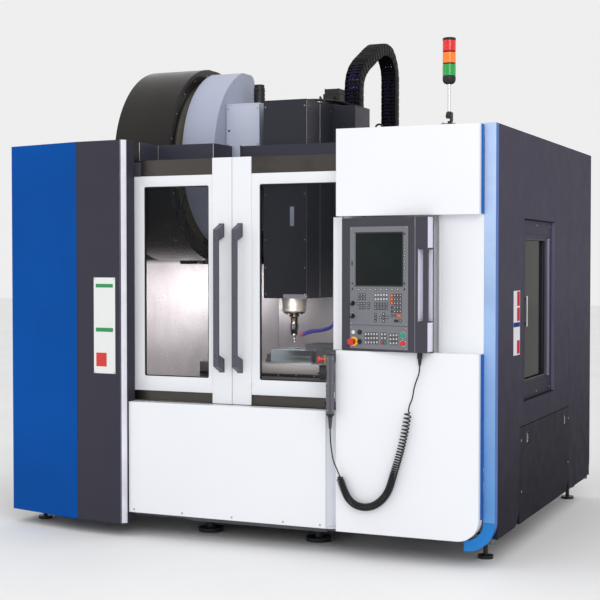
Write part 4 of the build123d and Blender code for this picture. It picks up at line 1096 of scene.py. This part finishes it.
# bright strips on the casing's front edge and side paint the highlights along these edges
p.box(120.2, 123.4, 668.4, 670.4, 1308, 2432, 0.4, 1, 0)
p.box(20, 45, 665.8, 668.2, 1718, 1828, 0.6, 2, 1)
for x in (23.5, 41.5):
    for z in (1722, 1824):
        p.cyl((x, 665.9, z), 1.8, -0.7, 0.3, "y", 0.4, 12, 2)
for x in (-134, 111):
    for z in (1330, 1480, 1640, 1900, 2160, 2400):
        p.cyl((x, 668.2, z), 4.2, -1.6, 0.3, "y", 0.9, 18, 2)
p.box(-140, 117, 666.6, 668.4, 1702, 1704.2, 0.3, 1, 3)
for z in (1340, 1560, 1780, 2000, 2220, 2400):
    p.cyl((123.0, 700, z), 4.0, -0.3, 1.5, "x", 0.8, 18, 2)
    p.cyl((123.0, 1030, z), 4.0, -0.3, 1.5, "x", 0.8, 18, 2)
p.box(122.4, 124.0, 862, 864, 1310, 2430, 0.2, 1, 0)
# cover plates along the top of the head and the carriage
p.box(-146.6, 123.6, 667.6, 1062, 2430, 2437.6, 1.4, 2, 4)
p.box(-200.8, 265.8, 1060, 1300.6, 2430, 2437.6, 1.4, 2, 4)
for x in (-130, 108):
    for y in (690, 860, 1030):
        p.cyl((x, y, 2437.4), 4.5, -0.3, 2.2, "z", 0.9, 16, 2)
# vertical light joints on the carriage's right half
for x in (158, 206, 250):
    p.box(x, x + 1.6, 1058.8, 1060.6, 1610, 2428, 0.2, 1, 3)
p.done()

# cable glands and their cables on the head
p = Piece("head_top_fittings", "head", [black, black_part, hose_blue, rubber, screw])
for x, y in ((-90, 980), (-40, 1000), (40, 980), (90, 1000)):
    p.cyl((x, y, 2437), 13, 0, 20, "z", 2, 6, 1)
    p.cyl((x, y, 2457), 9.5, -1, 16, "z", 2, 24, 0)
for k, (x, y) in enumerate(((-90, 980), (-40, 1000), (40, 980), (90, 1000))):
    pts = []
    for i in range(25):
        s = i / 24
        pts.append((x + (178 + 12 * k - x) * s, y + (1190 - y) * s, 2465 + (24 - 4 * k) * math.sin(math.pi * s) - 22 * s))
    p.tube(pts, 5.2 if k % 2 else 6.6, 12, 3)
p.done()

# servo motors: fins, flanges, connectors
p = Piece("motor_details", "enclosure", [black_part, black, screw, chrome])
p.box(-58, 58, 1332, 1448, 2326, 2338, 2.0, 2, 0)
for z in (2350, 2490, 2543):
    p.box(-56.2, 56.2, 1333.8, 1446.2, z, z + 4, 0.8, 2, 1)
for x in (-46, 46):
    for y in (1344, 1436):
        p.cyl((x, y, 2338), 6, -0.3, 6, "z", 1, 18, 2)
        p.cyl((x, y, 2579), 3.4, -1.5, 2.0, "z", 0.6, 16, 2)
p.cyl((-56, 1380, 2508), 12, -18, 2, "x", 1.5, 28, 1)
p.cyl((-74, 1380, 2508), 9, -16, 2, "x", 1.5, 28, 3)
pts = []
for i in range(30):
    t = math.pi * i / 29
    pts.append((-90 - 16 * math.sin(t), 1380 + 70 * (i / 29), 2508 + 52 * math.sin(t) - 40 * (i / 29)))
p.tube(pts, 5.5, 12, 1)
for z in (2446, 2470, 2494, 2518, 2542):
    p.lathe([(33.4, z), (35.6, z + 0.6), (35.6, z + 4.4), (33.4, z + 5)], (-339, 1018, 0), "z", 40, 0)
p.lathe([(0, 2573), (31, 2573), (31.6, 2575), (29.5, 2579.5), (24, 2581), (0, 2581)], (-339, 1018, 0), "z", 40, 1)
p.cyl((-339, 984, 2548), 9, -14, 2, "y", 1.5, 24, 1)
p.done()
# ---------------------------------------------------------------------------
# spindle nose, tool holder, coolant hose, vise and workpiece details
# ---------------------------------------------------------------------------
SX, SY = -12, 800
p = Piece("nose_rings", "head", [satin_steel, black_part, screw, satin_steel])
p.lathe([(0, 1304.5), (74.5, 1304.5), (75, 1303), (75, 1294), (74, 1292.5), (70, 1292)], (SX, SY, 0), "z", 64, 0)
p.lathe([(60, 1270), (72.2, 1270), (72.6, 1269), (72.2, 1262), (60, 1262)], (SX, SY, 0), "z", 64, 3)
p.lathe([(40, 1240), (69.4, 1240), (70.0, 1239), (70.0, 1228), (69.0, 1226.5), (40, 1226.5)], (SX, SY, 0), "z", 64, 0)
p.lathe([(36, 1222), (62, 1222), (63.5, 1220.5), (63.5, 1217.5), (61, 1216), (36, 1216)], (SX, SY, 0), "z", 64, 1)
for k in range(8):
    t = math.pi * (k + 0.5) / 4
    p.cyl((SX + 52 * math.cos(t), SY + 52 * math.sin(t), 1216.2), 4.6, -3.2, 0.5, "z", 0.8, 16, 2)
    p.cyl((SX + 84 * math.cos(t), SY + 84 * math.sin(t), 1303.6), 4.6, -3.6, 0.5, "z", 0.8, 16, 2)
# four short coolant nozzles under the nose
for t in (0.5, 2.2, 3.9, 5.4):
    p.cyl((SX + 46 * math.cos(t), SY + 46 * math.sin(t), 1216.2), 4.2, -9, 0.5, "z", 1.2, 12, 1)
p.done()

p = Piece("tool_holder", "spindle", [turned, black_part, ground, chrome])
p.lathe([(0, 1274), (20, 1274), (22, 1270), (30, 1224), (31.8, 1223), (31.8, 1214.5), (27.6, 1210.5), (27.6, 1206.5),
         (31.8, 1202.5), (31.8, 1197), (30.8, 1196), (24, 1195.4), (22.6, 1193), (22.6, 1158), (23.2, 1156)], (SX, SY, 0), "z", 56, 0)
p.lathe([(0, 1157), (23.6, 1157), (24.6, 1155.6), (24.6, 1118), (22.4, 1112), (22.4, 1096), (19, 1088), (12.5, 1085), (0, 1085)],
        (SX, SY, 0), "z", 56, 3)
for k in range(18):
    t = 2 * math.pi * k / 18
    M = Matrix.Translation((SX, SY, 0)) @ Matrix.Rotation(t, 4, "Z")
    p.box(23.6, 25.2, -1.4, 1.4, 1122, 1150, 0.5, 1, 1, M)
for s in (1, -1):
    p.box(SX - 8, SX + 8, SY + s * 31 - 3, SY + s * 31 + 3, 1197.6, 1222, 0.8, 1, 1)
p.lathe([(0, 1086), (7.6, 1086), (7.6, 1072), (6.4, 1070), (0, 1070)], (SX, SY, 0), "z", 32, 2)
# three-flute end mill
rings = []
for i in range(22):
    z = 1071 - 25 * i / 21
    turn0 = -2.4 * i / 21
    row = []
    for k in range(24):
        a = 2 * math.pi * k / 24
        lob = 0.5 + 0.5 * math.cos(3 * a)
        r = 4.2 + 3.2 * lob ** 0.6
        row.append((SX + r * math.cos(a + turn0), SY + r * math.sin(a + turn0), z))
    rings.append(row)
v = [q for row in rings for q in row]
f = [(i * 24 + k, i * 24 + (k + 1) % 24, (i + 1) * 24 + (k + 1) % 24, (i + 1) * 24 + k) for i in range(21) for k in range(24)]
f += [tuple(range(24)), tuple(range(21 * 24, 22 * 24))]
p.add(v, f, 0, 1, 2)
p.done(replaces=("spindle_tool",))


def beads(p, pts, r, step, m):
    """segmented ball-and-socket hose along points"""
    L = Line([Vector(q) for q in pts])
    n = int(L.long / step)
    for i in range(n):
        c = L.at(L.long * (i + 0.5) / n)
        d = (L.at(L.long * (i + 1) / n) - L.at(L.long * i / n)).normalized()
        M = Matrix.Translation(c) @ d.to_track_quat("Z", "Y").to_matrix().to_4x4()
        h = step / 2
        p.lathe([(0, -h), (r * 0.55, -h), (r * 0.62, -h * 0.5), (r * 0.96, -h * 0.15), (r, h * 0.4), (r * 0.8, h), (0, h)], (0, 0, 0),
                "z", 16, m, M)


p = Piece("coolant_hose", "head", [hose_blue, label_red, black_part])
beads(p, [(64, 750, 1095), (90, 750, 1106), (124, 750, 1116), (177, 750, 1122), (215, 752, 1131), (241, 758, 1144),
          (256, 775, 1172), (262, 800, 1220), (264, 840, 1300), (262, 900, 1400), (256, 980, 1500), (245, 1070, 1560),
          (238, 1110, 1602)], 11.5, 15, 0)
M = Matrix.Translation((58, 750, 1092)) @ Vector((-1, 0, -0.4)).to_track_quat("Z", "Y").to_matrix().to_4x4()
p.lathe([(0, -8), (8.4, -8), (7.6, 0), (4.2, 12), (3.2, 16), (0, 16)], (0, 0, 0), "z", 20, 1, M)
p.cyl((238, 1110, 1598), 15, -14, 3, "z", 1.5, 6, 2)
p.done()

TZ = 934.0
for q in (0,):
    zs = [(N["vise"].matrix_world @ v.co).z * 1000 for v in N["vise"].data.vertices]
    TZ = min(zs)
p = Piece("vise_details", "table", [vise_metal, black_part, chrome, ground])
# hard jaw plates and their screws, guide lines, spindle end
p.box(99.5, 104, 702, 898, TZ + 76, TZ + 103, 0.6, 2, 3)
p.box(166, 171.5, 694, 903, TZ + 20, TZ + 71, 0.6, 2, 3)
for y in (740, 800, 860):
    p.cyl((99.3, y, TZ + 90), 6, -1.2, 0.5, "x", 1.0, 20, 1)
for y in (718, 880):
    p.box(-148, 328, y - 2, y + 2, TZ + 15.4, TZ + 17.6, 0.4, 1, 3)
for x in (186, 216, 246, 276, 306):
    p.box(x, x + 3, 699.2, 700.6, TZ + 76, TZ + 101, 0.2, 1, 1)
p.prism([(800 + 13 * math.cos(math.pi * k / 3), TZ + 86 + 13 * math.sin(math.pi * k / 3)) for k in range(6)], "x", 329, 342, 1.2, 2, 2)
p.cyl((250, 640.2, TZ + 33), 15, -3.0, 2, "y", 1.2, 32, 2)
p.cyl((250, 637.4, TZ + 33), 8, -1.5, 1, "y", 0.8, 6, 1)
for x in (-136, -112):
    for y in (745, 875):
        p.cyl((x, y, TZ + 40), 7, -0.4, 5, "z", 1.0, 20, 1)
p.done()

p = Piece("workpiece_marks", "table", [billet, ground])
for i in range(9):
    y = 738 + i * 13
    p.box(-58, 38, y, y + 1.0, TZ + 64.0, TZ + 64.3, 0, 1, 1)
p.box(-94.6, 164.6, 654.3, 655.6, TZ + 34, TZ + 35.2, 0.1, 1, 1)
for x in (-74, 144):
    for y in (676, 884):
        p.lathe([(3.6, -0.1), (6.2, -0.1), (6.2, 0.7), (3.6, 0.7), (3.6, -0.1)], (x, y, TZ + 72), "z", 24, 1)
p.done()

# ---------------------------------------------------------------------------
# magazine: inner plate, rim, gearbox screws
# ---------------------------------------------------------------------------
MY, MZ = 1076, 2108
# the tan inner plate's colour is a painted reflection inside the drum's rim
p = Piece("magazine_inner_plate", "enclosure", [tan_painted_reflection, screw, black_part])
p.lathe([(60, -679.5), (502, -679.5), (502, -677.0), (60, -677.0), (60, -679.5)], (0, MY, MZ), "x", 96, 0, None, (-74, 254))
for k in range(12):
    t = math.radians(-60 + 27 * k)
    p.cyl((-677.2, MY + 480 * math.cos(t), MZ + 480 * math.sin(t)), 5, -0.4, 3.0, "x", 1, 16, 1)
# rolled rim of the drum
p.lathe([(503, -681), (510, -681), (512, -678), (512, -674), (509, -671.5), (504, -671.5), (502, -675), (503, -681)], (0, MY, MZ),
        "x", 96, 2, None, (-74, 254))
p.done()
p = Piece("drum_seams", "enclosure", [black_part, screw])
for x in (-1034, -681.5):
    for k in range(14):
        t = math.radians(-20 + 17 * k)
        p.cyl((x, MY + 545 * math.cos(t), MZ + 545 * math.sin(t)), 4.6, -2.4, 2.8, "x", 0.8, 14, 1)
p.done()
p = Piece("gearbox_details", "enclosure", [pale_light, black_part, screw, alu])
p.box(-428.4, -208.8, 748.8, 1061, 2432, 2439.4, 1.4, 2, 0)
p.cyl((-409, 749.6, 2283), 6.5, -0.4, 0.8, "y", 0.3, 20, 1)
p.box(-211.2, -209.0, 749.0, 751, 1705, 2434, 0.3, 1, 1)
for x in (-414, -224):
    for z in (1740, 1960, 2200, 2410):
        p.cyl((x, 750, z), 5, -2.0, 0.4, "y", 0.9, 16, 2)
p.box(-300, -240, 747.2, 750.4, 1990, 2080, 0.6, 2, 3)
for x in (-418, -222):
    for y in (770, 900, 1040):
        p.cyl((x, y, 2439.2), 4.6, -0.3, 2.2, "z", 0.8, 16, 2)
p.done()
p = Piece("cover_details", "enclosure", [pale, screw, black_part])
for t in range(-60, 200, 26):
    a = math.radians(t)
    y, z = 1136 + 520 * math.cos(a), 2138 + 520 * math.sin(a)
    if y < 1138 and 1650 < z < 2640:
        p.cyl((-430.2, y, z), 5, -0.4, 2.2, "x", 0.9, 16, 1)
p.done()

# small gripper on the guard's rim, with its rod and hose
p = Piece("guard_gripper", "enclosure", [black, black_part, chrome])
p.box(-676, -652, 612, 664, 1786, 1822, 3, 3, 0)
p.box(-672, -656, 664, 690, 1794, 1800, 1, 2, 1)
p.box(-672, -656, 664, 690, 1808, 1814, 1, 2, 1)
p.cyl((-664, 640, 1822), 9, -1, 16, "z", 1.5, 24, 1)
p.tube([(-664, 640, 1836), (-664, 645, 1870), (-664, 668, 1900), (-668, 700, 1915)], 3.6, 10, 0)
p.tube([(-664, 630, 1790), (-662, 626, 1750), (-664, 640, 1715), (-668, 668, 1700)], 3.2, 10, 0)
p.done()
# ---------------------------------------------------------------------------
# right side: door handle, rail, window frame, latches; flat white return by the panel
# ---------------------------------------------------------------------------
p = Piece("recess_return", "enclosure", white)
p.box(1101, 1123, 62.2, 66, 1062, 1745, 0.6)
p.done()
p = Piece("side_door_handle", "side_door", [chrome, black_part])
p.box(1373, 1390, 697, 707, 1176, 1192, 2.5, 3, 0)
p.box(1373, 1390, 697, 707, 1308, 1324, 2.5, 3, 0)
p.box(1383, 1391, 696, 708, 1168, 1332, 3.2, 4, 0)
p.box(1371.5, 1374, 690, 714, 1160, 1340, 0.8, 2, 1)
p.done()
p = Piece("side_door_rail", "side_door", [rail_alu, side_dark, screw, rubber])
p.box(1371.5, 1386.5, 1188, 1206, 872, 1643, 1.0, 2, 0)
p.box(1371.5, 1385.5, 1208, 1238, 872, 1643, 1.0, 2, 0)
for y in (1197, 1218, 1228):
    p.box(1384.4, 1386.8, y - 1, y + 1, 876, 1640, 0.2, 1, 1)
# window frame and gasket
p.ring(rrect(676, 1174, 856, 1659, 8), rrect(700.5, 1149.5, 880.5, 1634.5, 6), "x", 1371.4, 1376, 1.2, 2, 1)
p.ring(rrect(696, 1154, 876, 1639, 6), rrect(704, 1146, 884, 1631, 5), "x", 1370.5, 1377, 1.0, 2, 3)
for z in (800, 1714):
    for y in (660, 980, 1290):
        p.cyl((1372, y, z), 5, -0.4, 1.8, "x", 0.8, 16, 2)
p.done()
# a pale strip on the side opening's edge paints the highlight along it
p = Piece("side_opening_edge_highlight", "enclosure", [rail_alu, black_part])
p.box(1373, 1391.2, 1324.0, 1326.0, 774, 1740, 0.2, 1, 0)
p.done()
p = Piece("hatch_latches", "enclosure", [handle_grey, black_part, chrome])
for y in (722, 1616):
    p.box(1380, 1389, y - 15, y + 15, 546, 598, 1.5, 2, 1)
    p.box(1386, 1391.5, y - 11, y + 12, 560, 594, 2.0, 3, 0)
    p.box(1384, 1391.5, y - 18, y - 15.5, 545, 600, 0.6, 1, 2)
    p.cyl((1389, y, 554), 4.5, -1, 2, "x", 0.6, 18, 2)
p.done()
# ---------------------------------------------------------------------------
# table front strip and way cover
# ---------------------------------------------------------------------------
p = Piece("table_front_strip", "table", [ground, screw, black_part, table_side])
TX0 = min((N["table"].matrix_world @ v.co).x for v in N["table"].data.vertices) * 1000 - 64
TX1 = max((N["table"].matrix_world @ v.co).x for v in N["table"].data.vertices) * 1000 - 64
TY0 = min((N["table"].matrix_world @ v.co).y for v in N["table"].data.vertices) * 1000 + 1152.654
p.box(TX0 + 2, TX1 - 2, TY0 - 1.4, TY0 + 0.5, 884, 936, 0.5, 2, 3)
p.box(TX0 + 2, TX1 - 2, TY0 - 2.2, TY0 + 0.5, 866, 882, 0.6, 2, 2)
for x in range(int(TX0) + 60, int(TX1) - 40, 110):
    p.cyl((x, TY0 - 2.2, 874), 4.6, -1.6, 0.4, "y", 0.7, 16, 1)
p.done()
p = Piece("way_cover", "enclosure", [wet_wall, black_part, screw])
p.box(-345, 345, 1296, 1298.5, 640, 1480, 0.8, 2, 0)
for x in (-345, 339):
    p.box(x, x + 6, 1294.6, 1296.4, 644, 1476, 0.4, 1, 0)
for z in (700, 960, 1210, 1460):
    for x in (-328, 328):
        p.cyl((x, 1296, z), 5, -1.6, 0.4, "y", 0.7, 14, 2)
p.done()

# ---------------------------------------------------------------------------
# rear cabinet: hinges, latches, filter frame, blank plate, gland nuts
# ---------------------------------------------------------------------------
p = Piece("cabinet_door_fittings", "cabinet_lid", [black, screw, chrome, label_white, black_part])
for z in (620, 1700):
    p.box(-462, -436, 2338, 2346, z - 46, z + 46, 2.0, 3, 0)
    p.box(-456, -442, 2344, 2356, z - 34, z + 10, 3.0, 3, 4)
    p.cyl((-449, 2346, z + 26), 7, -1, 3, "y", 1.0, 24, 2)
p.ring(rrect(-312, 72, 1810, 2010, 8), rrect(-298, 58, 1822, 1998, 6), "y", 2338.5, 2344, 1.2, 2, 0)
for x in (-305, 65):
    for z in (1817, 2003):
        p.cyl((x, 2343.8, z), 3.4, -0.4, 1.4, "y", 0.6, 14, 1)
p.box(-60, 60, 2338.8, 2341, 1560, 1640, 0.6, 2, 3)
for x in (-54, 54):
    for z in (1566, 1634):
        p.cyl((x, 2341, z), 2.6, -0.3, 1.0, "y", 0.4, 12, 1)
p.ring(rrect(-488, 488, 314, 2136, 10), rrect(-484, 484, 318, 2132, 8), "y", 2339.0, 2341.0, 0.6, 1, 4)
p.ring(rrect(292, 368, 1412, 1488, 10), rrect(297, 363, 1417, 1483, 8), "y", 2339.0, 2343.0, 1.0, 2, 0)
p.done()
p = Piece("cabinet_gland_nuts", "enclosure", [black, rubber])
for x in (-420, -360, -300):
    p.prism([(x + 22 * math.cos(math.pi * k / 3), 2262 + 22 * math.sin(math.pi * k / 3)) for k in range(6)], "z", 288, 299, 1.5, 2, 0)
    p.lathe([(0, 288), (17, 288), (17, 276), (12, 270), (0, 270)], (x, 2262, 0), "z", 28, 0)
    p.tube([(x, 2262, 290), (x, 2262, 240), (x, 2240, 190), (x, 2200, 160)], 8, 14, 1)
p.done()
p = Piece("rear_cover_fittings", "enclosure", [screw, black_part, side_dark])
for x in (-1490, -1010, -530, 530, 950, 1368):
    for z in (180, 660, 1140, 1620, 2130):
        p.cyl((x, 2339.8, z), 6, -0.4, 2.2, "y", 1.0, 16, 0)
for x0, x1 in ((-1500, -520), (520, 1376)):
    p.ring(rrect(x0, x1, 110, 2168, 6), rrect(x0 + 5, x1 - 5, 115, 2163, 5), "y", 2339.4, 2341.4, 0.5, 1, 2)
    c = (x0 + x1) / 2
    for k in range(14):
        p.box(c - 180, c + 180, 2339, 2343, 320 + 22 * k, 330 + 22 * k, 1.0, 2, 1)
p.done()
p = Piece("left_side_fittings", "enclosure", [side_dark, screw, black_part])
p.ring(rrect(1640, 2060, 405, 670, 8), rrect(1650, 2050, 415, 660, 6), "x", -1519.9, -1517, 0.5, 1, 2)
p.box(-1519.9, -1518, 1258.5, 1261, 120, 2172, 0.2, 1, 2)
p.done()
p = Piece("lifting_eyes", "enclosure", [black_part])
for x in (-200, 200):
    p.tube([(x + 24 * math.cos(2 * math.pi * k / 32), 1640, 2356 + 24 * math.sin(2 * math.pi * k / 32)) for k in range(33)], 6, 12, 0)
    p.cyl((x, 1640, 2330), 16, -4, 8, "z", 1.5, 24, 0)
p.done()
